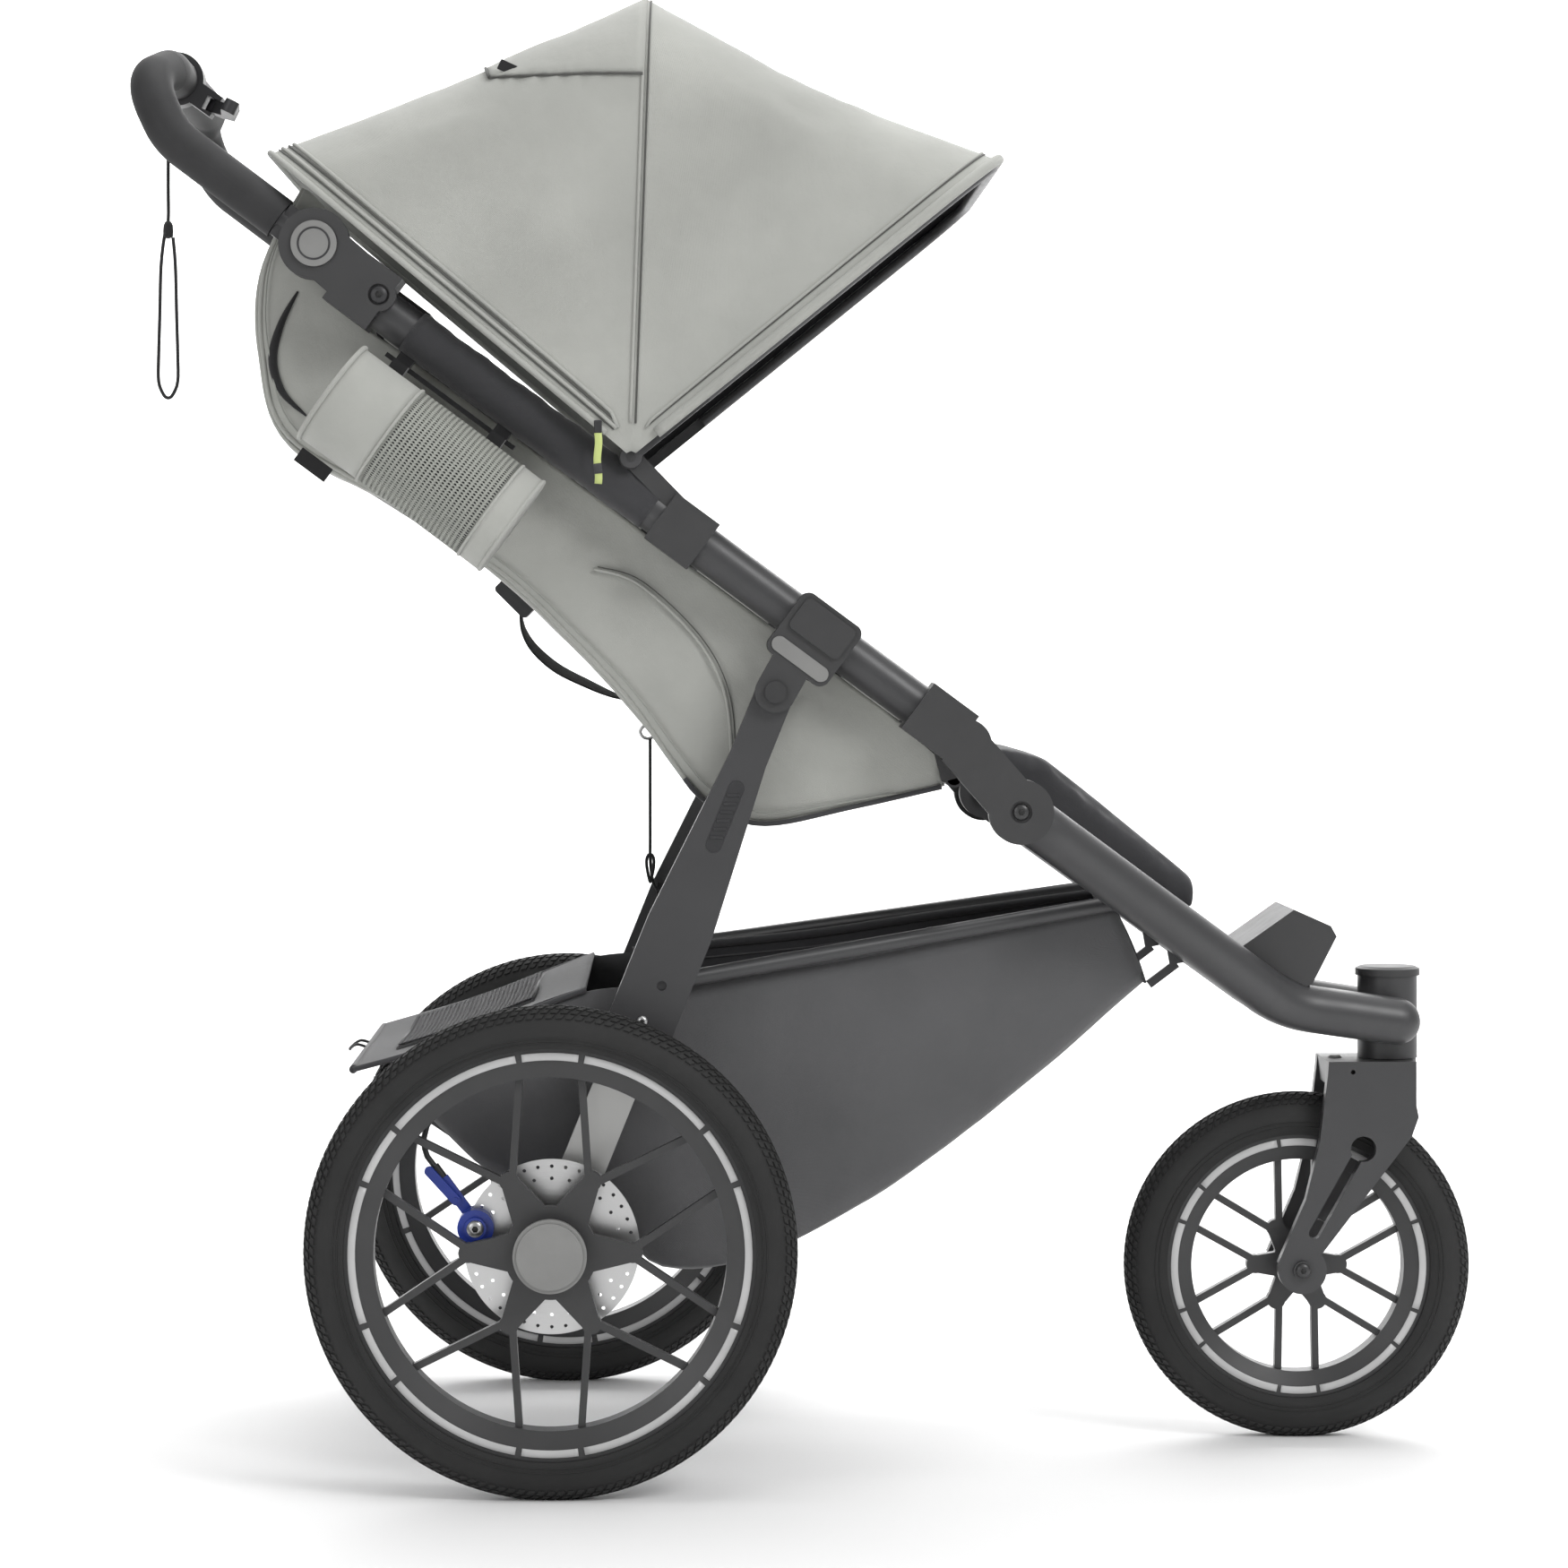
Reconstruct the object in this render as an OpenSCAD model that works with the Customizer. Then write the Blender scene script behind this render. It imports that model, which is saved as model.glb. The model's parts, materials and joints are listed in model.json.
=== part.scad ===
// Three-wheeled jogging stroller: fixed main frame, folding front frame and rear legs,
// swivelling front fork, tilting handlebar, folding canopy and reclining seat back.
// Millimetres. +X forward, +Y to the stroller's left, +Z up, ground at z = 0.

/* [Wheels] */
// Outer diameter of the rear tyres
rear_wheel_d = 400; // [360:5:420]
// Outer diameter of the front tyre
front_wheel_d = 300; // [260:5:310]
// Width of the rear tyres
rear_tyre_w = 48; // [38:1:50]
// Width of the front tyre
front_tyre_w = 46; // [36:1:50]
// Distance between the centre planes of the rear wheels
track = 600; // [598:2:700]
// Distance from the rear axle to the front axle
wheelbase = 646; // [636:2:700]
// Distance from the swivel axis back to the front axle
caster_trail = 80; // [66:1:88]
// Diameter of the rear stub axles
rear_axle_d = 12; // [8:0.5:15]
// Diameter of the front axle bolt
front_axle_d = 10; // [6:0.5:12]
// Diameter of the brake discs
brake_disc_d = 144; // [120:2:150]

/* [Frame] */
// Distance of the leg pivot ahead of the rear axle
leg_pivot_x = 184; // [170:1:200]
// Height of the leg pivot above the ground
leg_pivot_z = 655; // [645:1:675]
// Slope of the main frame tubes
frame_slope = 36.5; // [35:0.5:38]
// Distance from the leg pivot up to the axis of the main tube
leg_drop = 61; // [56:1:66]
// Distance along the tube from the leg pivot up to the handle hinge
handle_reach = 526; // [500:2:560]
// Distance along the tube from the leg pivot down to the front hinge
front_reach = 222; // [214:1:232]
// Distance between the axes of the two main tubes
frame_w = 440; // [430:2:460]
// Diameter of the main tubes
tube_d = 36; // [30:1:38]
// Diameter of the front tubes
front_tube_d = 41; // [34:1:42]
// Wall of all frame tubes
tube_wall = 2; // [1.5:0.1:3]
// Thickness of the rear legs
leg_t = 22; // [16:1:24]
// Outer diameter of the head tube
head_tube_d = 52; // [46:1:56]
// Diameter of the steerer
steerer_d = 28; // [22:1:30]
// Wall of the steerer
steerer_wall = 2.5; // [2:0.5:4]
// Diameter of the hinge bolts
hinge_bolt_d = 10; // [6:0.5:12]
// Diameter of the hole across the fork crown
crown_hole_d = 4; // [3:0.5:6]

/* [Handlebar] */
// Outer diameter of the grip
grip_d = 36; // [30:1:38]
// Diameter of the handlebar tube
handle_tube_d = 26; // [20:1:28]
// Diameter of the hinge buttons
button_d = 38; // [30:1:42]

/* [Canopy] */
// Distance from the canopy pivot to the bows
canopy_r = 396; // [370:1:420]
// Reach of the middle bow from the pivot
canopy_mid_r = 384; // [370:1:400]
// Angle between the front bow and the ground
canopy_front_a = 39; // [36:1:44]
// Angle between the middle bow and the ground
canopy_mid_a = 88; // [84:1:92]
// Angle between the rear edge and the ground
canopy_rear_a = 140; // [137:1:142]
// Diameter of the canopy bows
bow_d = 10; // [7:0.5:12]

/* [Soft goods] */
// Thickness of the seat and canopy fabric
fabric_t = 3; // [2:0.5:4]
// Width of the seat shell
seat_w = 390; // [370:2:394]
// Thickness of the seat cushion
cushion_t = 20; // [14:1:24]
// Diameter of the cup pocket
cup_d = 92; // [80:1:96]
// Length of the cup pocket
cup_l = 187; // [160:1:190]

/* [Fits] */
// Radial clearance of a shaft in its bore
shaft_gap = 0.05; // [0.02:0.01:0.1]
// Clearance between parts that move past each other
run_gap = 0.6; // [0.4:0.1:1]
// Clearance between a soft part and its neighbour
soft_gap = 0.4; // [0.3:0.1:0.8]

/* [Hidden] */
$fn = 64;

// ---- places in the side view, as [x, z] ----
down = [cos(frame_slope), -sin(frame_slope)];
up = [sin(frame_slope), cos(frame_slope)];
leg_pivot = [leg_pivot_x, leg_pivot_z];
tube_origin = leg_pivot + leg_drop * up;
function on_tube(along, above = 0) = tube_origin + along * down + above * up;
handle_pivot = on_tube(-handle_reach, 10);
front_pivot = on_tube(front_reach, -20);
rear_axle = [0, rear_wheel_d / 2];
front_axle_at = [wheelbase, front_wheel_d / 2];
swivel_x = wheelbase + caster_trail;
canopy_pivot = on_tube(-211, 24);

// ---- places across the stroller ----
tube_y = frame_w / 2;
leg_in = tube_y + 2;
leg_out = leg_in + leg_t;
disc_y = leg_out + 18;
hub_in = disc_y + 2;
wheel_y = track / 2;
hub_out = wheel_y + 22;
grip_r = grip_d / 2;

// ---- main frame lengths along the tube ----
tube_start = -470;
tube_end = 148;
bracket_l = 60;
joint_r = 27;
cheek_t = 16;
eye_w = tube_y + 12;
cheek_in = eye_w + run_gap;
cheek_out = cheek_in + cheek_t;

// ---- handlebar: side view places of its bends ----
bar_at = handle_pivot + [-129, 153];
arm_bend = handle_pivot + [-121, 91];
arm_top = handle_pivot + [-143, 138];

// ---- front frame ----
head_z0 = front_wheel_d + 31.5;
head_z1 = head_z0 + 72;
tube_level = head_z0 + 34.5;
front_bend = [swivel_x - 98, tube_level + 15];
head_side = head_tube_d / 2 + front_tube_d / 2 - 6;

// ---- fork ----
fork_in = front_tyre_w / 2 + 8;
fork_t = 12;
fork_out = fork_in + fork_t;
crown_z = head_z0 - run_gap;

// ---- leg ----
leg_dir = (rear_axle - leg_pivot) / norm(rear_axle - leg_pivot);
leg_len = norm(rear_axle - leg_pivot);
leg_side = [-leg_dir[1], leg_dir[0]];
function on_leg(along, aside = 0) = leg_pivot + along * leg_dir + aside * leg_side;
leg_end = 335;

// ---- rails ----
rail_rear = on_leg(260, 4);
rail_front = [swivel_x - 218, tube_level + 112];
rail_d = 14;
rail_y0 = leg_in - rail_d / 2 - 1;
rail_y1 = 106;

// ---- centre of the whole length ----
front_most = front_axle_at[0] + front_wheel_d / 2;
bend_cut = 4.4;
back_most = arm_top[0] - grip_r + bend_cut;
mid_x = (front_most + back_most) / 2;

// ==== helpers ====
function unit(v) = v / norm(v);
function across(v) = unit(cross(v, abs(v[2]) < 0.9 ? [0, 0, 1] : [1, 0, 0]));
function at(p, y) = [p[0], y, p[1]];

module place() {
  translate([-mid_x, 0, 0]) children();
}

module both() {
  children();
  mirror([0, 1, 0]) children();
}

// Extrudes a side view outline, drawn as [x, z], from y0 to y1.
module slab(y0, y1) {
  translate([0, y1, 0]) rotate([90, 0, 0]) linear_extrude(height = y1 - y0) children();
}

// A round bar along Y.
module rod(p, y0, y1, r) {
  slab(y0, y1) translate(p) circle(r = r);
}

module ring(r, wall) {
  difference() {
    circle(r = r);
    if (wall > 0) circle(r = r - wall);
  }
}

module frame_at(o, x, z) {
  y = cross(z, x);
  multmatrix([
    [x[0], y[0], z[0], o[0]],
    [x[1], y[1], z[1], o[1]],
    [x[2], y[2], z[2], o[2]],
    [0, 0, 0, 1]
  ]) children();
}

// A round tube along a path, with each corner bent to its own radius. Each straight is a
// hair thinner than the bends and runs a little way into them.
bend_step = 0.06;
bend_lap = 0.5;

module pipe(path, bends, r, wall = 0) {
  last = len(path) - 1;
  step = last > 1 ? bend_step : 0;
  dirs = [for (i = [0:last - 1]) unit(path[i + 1] - path[i])];
  turns = [for (i = [1:last - 1]) acos(dirs[i - 1] * dirs[i])];
  trims = concat([0], [for (i = [0:last - 2]) bends[i] * tan(turns[i] / 2)], [0]);
  for (i = [0:last - 1]) {
    from = trims[i] - (i > 0 ? bend_lap : 0);
    to = norm(path[i + 1] - path[i]) - trims[i + 1] + (i < last - 1 ? bend_lap : 0);
    frame_at(path[i] + dirs[i] * from, across(dirs[i]), dirs[i])
      linear_extrude(height = to - from)
        ring(r - step, wall > 0 ? wall - 2 * step : 0);
  }
  for (i = [1:last - 1]) {
    inward = unit(dirs[i] - dirs[i - 1] * (dirs[i] * dirs[i - 1]));
    start = path[i] - dirs[i - 1] * trims[i];
    frame_at(start + inward * bends[i - 1], -inward, cross(-inward, dirs[i - 1]))
      rotate_extrude(angle = turns[i - 1]) translate([bends[i - 1], 0]) ring(r, wall);
  }
}

// A straight bar in a flat outline, w wide, from p to q.
module bar2(p, q, w) {
  v = q - p;
  translate(p) rotate(atan2(v[1], v[0])) translate([0, -w / 2]) square([norm(v), w]);
}

// A bar with round ends, which stand a hair proud of its sides.
module capsule2(p, q, w) {
  v = q - p;
  proud = 0.04;
  translate(p) rotate(atan2(v[1], v[0])) {
    translate([0, proud - w / 2]) square([norm(v), w - 2 * proud]);
    circle(d = w);
    translate([norm(v), 0]) circle(d = w);
  }
}

// A box aligned with the main tube: centre along and above it, length and height.
module along_tube(along, above, l, h) {
  translate(on_tube(along, above)) rotate(-frame_slope) square([l, h], center = true);
}

// A rectangle with round corners, made of exact pieces.
module rounded(w, h, r) {
  square([w - 2 * r, h], center = true);
  square([w, h - 2 * r], center = true);
  for (x = [-1, 1], y = [-1, 1])
    translate([x * (w / 2 - r), y * (h / 2 - r)]) circle(r = r);
}

// A limp cord: an eight-sided tube swept along its points.
module cord(points, d) {
  n = 8;
  last = len(points) - 1;
  tang = [for (i = [0:last])
    unit(points[min(i + 1, last)] - points[max(i - 1, 0)])];
  verts = [for (i = [0:last], k = [0:n - 1])
    let (s = [0, 1, 0], t = cross(tang[i], s), a = 360 * k / n)
    points[i] + d / 2 * (cos(a) * unit(t) + sin(a) * unit(cross(t, tang[i])))];
  sides = [for (i = [0:last - 1], k = [0:n - 1])
    let (a = i * n + k, b = i * n + (k + 1) % n) [a, b, b + n, a + n]];
  caps = [[for (k = [n - 1:-1:0]) k], [for (k = [0:n - 1]) last * n + k]];
  polyhedron(points = verts, faces = concat(sides, caps), convexity = 6);
}

// Rounds a route of hand-chosen points by cutting each corner.
function rounded_route(p) = concat([p[0]],
  [for (i = [0:len(p) - 2], f = [0.25, 0.75]) p[i] * (1 - f) + p[i + 1] * f],
  [p[len(p) - 1]]);

// ==== main frame ====
module main_tubes() {
  color("#4a4a4a") place() both()
    pipe([at(on_tube(tube_start), tube_y), at(on_tube(tube_end), tube_y)], [], tube_d / 2, tube_wall);
}

// Cover of the tube's upper end with the outer cheek of the handle hinge.
module handle_hinges() {
  color("#4c4c4c") place() both() {
    difference() {
      union() {
        slab(tube_y - 23, cheek_out) along_tube(tube_start - 2, 4, 44, 52);
        rod(on_tube(tube_start + 12, 8), cheek_in, cheek_out, 14);
        slab(cheek_in, cheek_out) {
          bar2(handle_pivot, on_tube(tube_start - 2, 6), 46);
          translate(handle_pivot) circle(r = joint_r + 2.5);
        }
      }
      pipe([at(on_tube(tube_start - 1), tube_y), at(on_tube(0), tube_y)], [], tube_d / 2 + shaft_gap);
      rod(handle_pivot, tube_y - 30, cheek_in, joint_r + 3);
      rod(handle_pivot, cheek_out - 9, cheek_out + 1, button_d / 2 + run_gap / 2);
      rod(handle_pivot, cheek_in - 1, cheek_out, hinge_bolt_d / 2 + shaft_gap);
      rod(on_tube(tube_start + 12, 8), cheek_out - 3, cheek_out + 1, 9);
    }
  }
}

module leg_brackets() {
  color("#494949") place() both() {
    difference() {
      union() {
        slab(tube_y - 22, leg_out + 8)
          translate(on_tube(0, -7)) rotate(-frame_slope) rounded(bracket_l, 60, 8);
        slab(leg_out + run_gap, leg_out + 8) {
          bar2(on_tube(-4, -30), leg_pivot, 34);
          translate(leg_pivot) circle(r = 17);
        }
        slab(leg_out + 8, leg_out + 11)
          translate(on_tube(0, 4)) rotate(-frame_slope) rounded(bracket_l - 10, 30, 5);
      }
      pipe([at(on_tube(-60), tube_y), at(on_tube(60), tube_y)], [], tube_d / 2 + shaft_gap);
      rod(leg_pivot, tube_y - 30, leg_out + run_gap, 23);
      rod(leg_pivot, leg_in, leg_out + 12, hinge_bolt_d / 2 + shaft_gap);
      slab(leg_out + 5, leg_out + 12) insert_outline(0.1);
    }
  }
}

module insert_outline(gap) {
  capsule2(on_tube(-21, -27), on_tube(21, -27), 13 + 2 * gap);
}

module bracket_inserts() {
  color("#9a9a98") place() both() slab(leg_out + 5, leg_out + 9) insert_outline(0);
}

// Cover of the tube's lower end with the outer cheek of the front hinge.
module front_joints() {
  color("#4b4b4b") place() both() {
    difference() {
      union() {
        slab(tube_y - 22, cheek_out) {
          along_tube(tube_end - 24, 0, 46, 46);
          translate(on_tube(tube_end + 4, -3)) circle(r = 22);
        }
        slab(cheek_in, cheek_out) {
          bar2(on_tube(tube_end, -4), front_pivot, 42);
          translate(front_pivot) circle(r = joint_r);
        }
        slab(tube_y - 22, tube_y - 12)
          bar2(on_tube(tube_end - 4, -14), cross_bar_at, 22);
      }
      pipe([at(on_tube(0), tube_y), at(on_tube(tube_end + 0.2), tube_y)], [], tube_d / 2 + shaft_gap);
      rod(front_pivot, tube_y - 30, cheek_in, front_tube_d / 2 + 5);
      rod(front_pivot, cheek_in - 1, cheek_out + 1, hinge_bolt_d / 2 + shaft_gap);
      rod(front_pivot, cheek_out - 3, cheek_out + 1, 9);
    }
  }
}

cross_bar_at = on_tube(tube_end + 16, -30);

module front_cross_bar() {
  color("#404040") place()
    slab(-(tube_y - 22), tube_y - 22) translate(cross_bar_at) ring(8, tube_wall);
}

// Bolts of the leg pivots and the front and handle hinges, with their heads.
module frame_bolts() {
  color("#5a5a5a") place() both() {
    rod(leg_pivot, leg_in - 4, leg_out + 9, hinge_bolt_d / 2);
    rod(leg_pivot, leg_out + 9, leg_out + 12, 9);
    rod(leg_pivot, leg_in - 7, leg_in - run_gap, 9);
    rod(front_pivot, tube_y - 14, cheek_out - 1, hinge_bolt_d / 2);
    rod(front_pivot, tube_y - 18, tube_y - 12 - run_gap, 9);
    rod(handle_pivot, tube_y - 14, cheek_out - 9.5, hinge_bolt_d / 2);
    rod(handle_pivot, tube_y - 18, tube_y - 12 - run_gap, 9);
  }
}

// ==== seat ====
seat_low = [2, -170];
seat_knee = [58, -157];
seat_lip = [162, -39.5];
seat_in_knee = [57, -153.2];
seat_in_lip = [158, -38.5];
seat_wing = [
  [-566, 43], [-550, -36], [-510, -89], [-452, -134], [-243, -118], [-95, -140],
  seat_low, seat_knee, seat_lip, [150, -33], [148, -24], [-470, -24], [-530, 43]
];
seat_open = [
  [-640, 110], [-640, -240], [0, -240], [0, -166], seat_in_knee, seat_in_lip, [146, 110]
];
hem_runs = [[-436, -170], [-112, -38], [38, 98]];

// Maps points given along and above the main tube to the side view.
function by_tube(p) = [for (q = p) on_tube(q[0], q[1])];
function mix(p, q, s) = p * (1 - s) + q * s;

module seat_shell() {
  color("#b2b4ae") place() {
    difference() {
      slab(-seat_w / 2, seat_w / 2) polygon(by_tube(seat_wing));
      slab(-seat_w / 2 + fabric_t, seat_w / 2 - fabric_t) polygon(by_tube(seat_open));
    }
    both() for (run = hem_runs)
      slab(seat_w / 2 - fabric_t, tube_y - 7) polygon(by_tube([
        [run[0], -17], [run[1], -17], [run[1], -26], [run[0], -26]
      ]));
  }
}

module seat_cushion() {
  rise = [0, soft_gap];
  low = mix([0, -166], seat_in_knee, 0.12) + rise;
  knee = seat_in_knee + 1.4 * rise;
  lip = mix(seat_in_knee, seat_in_lip, 0.93) + 1.6 * rise;
  color("#8f918c") place() slab(-150, 150) polygon(by_tube([
    low, knee, lip, lip + [-12, 12], knee + [-4, cushion_t + 8], low + [0, cushion_t]
  ]));
}

recline_at = on_tube(0, -158);
back_half = seat_w / 2 - fabric_t - soft_gap - 0.2;

module seat_back() {
  color("#a9aba6") place() slab(-back_half, back_half) polygon(by_tube([
    [-5, -164], [-95, -140], [-243, -118], [-452, -134], [-510, -89], [-550, -36],
    [-565, 30], [-551, 30], [-537, -32], [-499, -80], [-447, -118],
    [-243, -118 + cushion_t], [-88, -139 + cushion_t], [0, -166 + cushion_t]
  ]));
}

module shoulder_harness() {
  g = cushion_t + soft_gap;
  color("#2c2c2e") place() both() slab(40, 65) polygon(by_tube([
    [-20, -160 + g], [-88, -139 + g], [-243, -118 + g], [-330, -118 + g],
    [-330, -115 + g], [-243, -114.5 + g], [-87, -135.5 + g], [-19, -156.5 + g]
  ]));
}

module crotch_buckle() {
  color("#242426") place() {
    slab(-18, 18) translate(on_tube(46, -94)) rotate(-frame_slope + 20) rounded(46, 12, 5);
    slab(-12, 12) polygon(by_tube([[49, -125.5], [53, -123.8], [48, -99], [44, -99]]));
  }
}

calf_half = rail_y1 - rail_d / 2 - 2;

module calf_pad() {
  color("#454648") place() slab(-calf_half, calf_half) polygon(by_tube([
    [169.5, -23.8], [182, 14], [222, 28], [280, 26], [400, 20], [412, 2], [392, -9], [240, -6]
  ]));
}

// Buckle at the top of the recline strap and the strap that sags down to the seat.
module recline_buckle() {
  color("#232325") place() slab(-18, 18)
    translate(on_tube(-226, -129.5)) rotate(-frame_slope - 8.5) rounded(38, 17, 4);
}

module recline_strap() {
  color("#2a2a2c") place() slab(-12.5, 12.5) polygon(by_tube([
    [-222, -139], [-200, -152], [-160, -162], [-110, -157], [-92, -141.3],
    [-89, -144], [-108, -160], [-160, -165], [-202, -155], [-226, -139]
  ]));
}

tether_route = [[78, 194, 606], [78, 195, 592], [78, 197, 566], [78, 200, 540],
  [78, 204, 512], [78, 208, 496], [79, 212, 482], [81, 215, 472], [85, 217, 465]];

module seat_tether() {
  color("#1e1e20") place() {
    cord(tether_route, 3);
    slab(192, 198) translate([76.6, 612]) rounded(14, 12, 3);
    translate([on_leg(205)[0] - 14, leg_in - 7, on_leg(205)[1] - 7]) cube([22, 6.6, 14]);
  }
}

// ==== cup pocket ====
cup_top = on_tube(-440, -80);
cup_y = -(tube_y + tube_d / 2 + 26);

// A round bar on the pocket's own axis, longer than the pocket by extra at both ends.
module cup_round(r, extra) {
  frame_at(at(cup_top, cup_y), [0, 1, 0], [down[0], 0, down[1]])
    translate([0, 0, -extra]) cylinder(r = r, h = cup_l + 2 * extra);
}

module cup_pocket() {
  color("#a4a69f") place() difference() {
    cup_round(cup_d / 2, 0);
    translate(-4 * [down[0], 0, down[1]]) cup_round(cup_d / 2 - fabric_t, 0);
  }
}

module cup_hanger() {
  color("#262628") place() {
    slab(-(tube_y + 6), -(tube_y - 6)) along_tube(-360, -27.5, 132, 4);
    slab(-(tube_y + 8), -(tube_y - 6)) for (s = [-410, -310])
      along_tube(s, -22.6, 14, 8.4);
    for (s = [-410, -310])
      difference() {
        slab(-(tube_y + 22), -(tube_y + 6)) along_tube(s, -36, 14, 20);
        cup_round(cup_d / 2 + soft_gap, 30);
      }
  }
}

// ==== canopy ====
bow_w = frame_w + 2 * (tube_d / 2 + 3);
bow_corner = 70;
bow_foot = 79;

// Flat bow outline in its own plane: half width, reach and corner radius.
module bow_fill(half, reach, r) {
  translate([0, -half]) square([reach - r, 2 * half]);
  translate([0, -half + r]) square([reach, 2 * half - 2 * r]);
  for (y = [-1, 1]) translate([reach - r, y * (half - r)]) circle(r = r);
}

// Turns a flat outline, drawn outward and across, to stand at an angle on the pivot.
module at_canopy(angle, t) {
  translate([canopy_pivot[0], 0, canopy_pivot[1]]) rotate([0, -angle, 0])
    translate([0, 0, -t / 2]) linear_extrude(height = t) children();
}

// Wedge between two bows: thin end plates joined by flat stretched faces.
module sector(a0, r0, a1, r1, half, grow, plate) {
  hull() {
    at_canopy(a0, plate) bow_fill(half, r0 + grow, bow_corner, $fn = 32);
    at_canopy(a1, plate) bow_fill(half, r1 + grow, bow_corner, $fn = 32);
  }
}

// Fabric between two bows, open at both ends.
module canopy_skin(a0, r0, a1, r1) {
  half = bow_w / 2 + bow_d / 2 + soft_gap + fabric_t;
  difference() {
    sector(a0, r0, a1, r1, half, fabric_t, 0.2);
    sector(a0, r0, a1, r1, half - fabric_t, 0, 3);
    translate([canopy_pivot[0], 0, canopy_pivot[1]])
      rotate([90, 0, 0]) cylinder(r = 34, h = 2 * half + 2, center = true);
  }
}

module canopy_rear() {
  color("#aeb0aa") place() canopy_skin(canopy_mid_a + 0.3, canopy_mid_r, canopy_rear_a, canopy_r);
}

module canopy_front() {
  color("#b4b6b0") place() canopy_skin(canopy_front_a, canopy_r, canopy_mid_a - 0.3, canopy_mid_r);
}

// Bent bow tube between the flat feet at the two pivots.
module bow(angle, outer) {
  reach = outer - 1.25 * (bow_d / 2 + soft_gap);
  p = [canopy_pivot[0], 0, canopy_pivot[1]];
  out = [cos(angle), 0, sin(angle)];
  side = [0, bow_w / 2, 0];
  tip = bow_corner - 4;
  pipe([p + bow_foot * out - side, p + reach * out - side, p + reach * out + side, p + bow_foot * out + side],
    [tip, tip], bow_d / 2, 1.5);
}

module bow_eyes(y0, y1, angle) {
  both() difference() {
    slab(y0, y1) {
      translate(canopy_pivot) circle(r = 9);
      bar2(canopy_pivot, canopy_pivot + (bow_foot + 1) * [cos(angle), sin(angle)], bow_d - 0.6);
    }
    rod(canopy_pivot, y0 - 1, y1 + 1, 4 + shaft_gap);
  }
}

module canopy_mid_bow() {
  color("#3a3a3c") place() {
    bow(canopy_mid_a, canopy_mid_r);
    bow_eyes(bow_w / 2 - bow_d / 2, bow_w / 2 - run_gap / 2, canopy_mid_a);
  }
}

module canopy_front_bow() {
  color("#3a3a3c") place() {
    bow(canopy_front_a, canopy_r);
    bow_eyes(bow_w / 2 + run_gap / 2, bow_w / 2 + bow_d / 2, canopy_front_a);
  }
}

// Clamps round the main tubes that carry the canopy pivots.
module canopy_clips() {
  color("#434345") place() both() {
    difference() {
      union() {
        slab(tube_y - 21, tube_y + 21) along_tube(-141, 0, 44, 46);
        slab(tube_y - 21, bow_w / 2 - bow_d / 2 - run_gap / 2) {
          bar2(on_tube(-150, 14), canopy_pivot, 16);
          translate(canopy_pivot) circle(r = 10);
        }
      }
      pipe([at(on_tube(-260), tube_y), at(on_tube(-60), tube_y)], [], tube_d / 2 + shaft_gap);
    }
    rod(canopy_pivot, bow_w / 2 - bow_d / 2 - run_gap / 2, bow_w / 2 + bow_d / 2 + run_gap / 2, 4);
  }
}

// ==== front frame ====
front_path = [
  at(front_pivot, tube_y - 10), at(front_pivot + 26 * unit(front_bend - front_pivot), tube_y - 12),
  at(front_bend, head_side + 14), [swivel_x + 2, head_side, tube_level]
];

module front_tubes() {
  color("#4a4a4a") place() both() difference() {
    union() {
      pipe(front_path, [60, 90], front_tube_d / 2, tube_wall);
      rod(front_pivot, tube_y - 12, eye_w, front_tube_d / 2 + 3);
      translate([swivel_x + 2, head_side, tube_level]) sphere(d = front_tube_d - 0.1);
    }
    rod(front_pivot, tube_y - 40, tube_y - 12, front_tube_d / 2 + 8);
    rod(front_pivot, tube_y - 13, eye_w + 1, hinge_bolt_d / 2 + shaft_gap);
    translate([swivel_x, 0, head_z0 - 5]) cylinder(d = head_tube_d + 0.1, h = 90);
  }
}

module head_tube() {
  color("#4a4a4a") place() translate([swivel_x, 0, head_z0])
    linear_extrude(height = head_z1 - head_z0) ring(head_tube_d / 2, 3);
}

module head_cap() {
  color("#3e3e40") place() translate([swivel_x, 0, head_z1]) {
    cylinder(d = head_tube_d + 4, h = 6);
    translate([0, 0, 6]) cylinder(d1 = head_tube_d + 4, d2 = head_tube_d - 4, h = 2);
  }
}

module head_bearings() {
  color("#c9c9c9") place() for (z = [head_z0 + 1, head_z1 - 12])
    translate([swivel_x, 0, z]) difference() {
      cylinder(r = head_tube_d / 2 - 3 - shaft_gap, h = 10);
      translate([0, 0, -1]) cylinder(d = steerer_d + 2 * shaft_gap, h = 12);
    }
}

module footrest() {
  color("#47474a") place() difference() {
    union() {
      slab(-62, 62) polygon([
        front_bend + [-50, 42], front_bend + [8, 83], front_bend + [40, 69],
        front_bend + [45, 60], front_bend + [24, 19], front_bend + [0, 8], front_bend + [-36, 24]
      ]);
      slab(-30, 30) polygon([
        front_bend + [-50, 42], front_bend + [24, 19], front_bend + [0, -14],
        front_bend + [-50, 14]
      ]);
    }
    both() pipe(front_path, [60, 90], front_tube_d / 2 + 0.2);
    slab(-56, 56) polygon([
      front_bend + [-40, 40], front_bend + [8, 74], front_bend + [34, 62],
      front_bend + [20, 30], front_bend + [0, 22], front_bend + [-30, 32]
    ]);
  }
}

module basket_hooks() {
  hook_in = rail_y1 - 3.7;
  color("#303032") place() both() difference() {
    slab(hook_in, hook_in + 6) {
      bar2(front_bend + [-104, 74], front_bend + [-98, 40], 12);
      bar2(front_bend + [-98, 40], front_bend + [-122, 22], 7);
    }
    pipe(front_path, [60, 90], front_tube_d / 2 + 0.2);
  }
}

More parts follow.
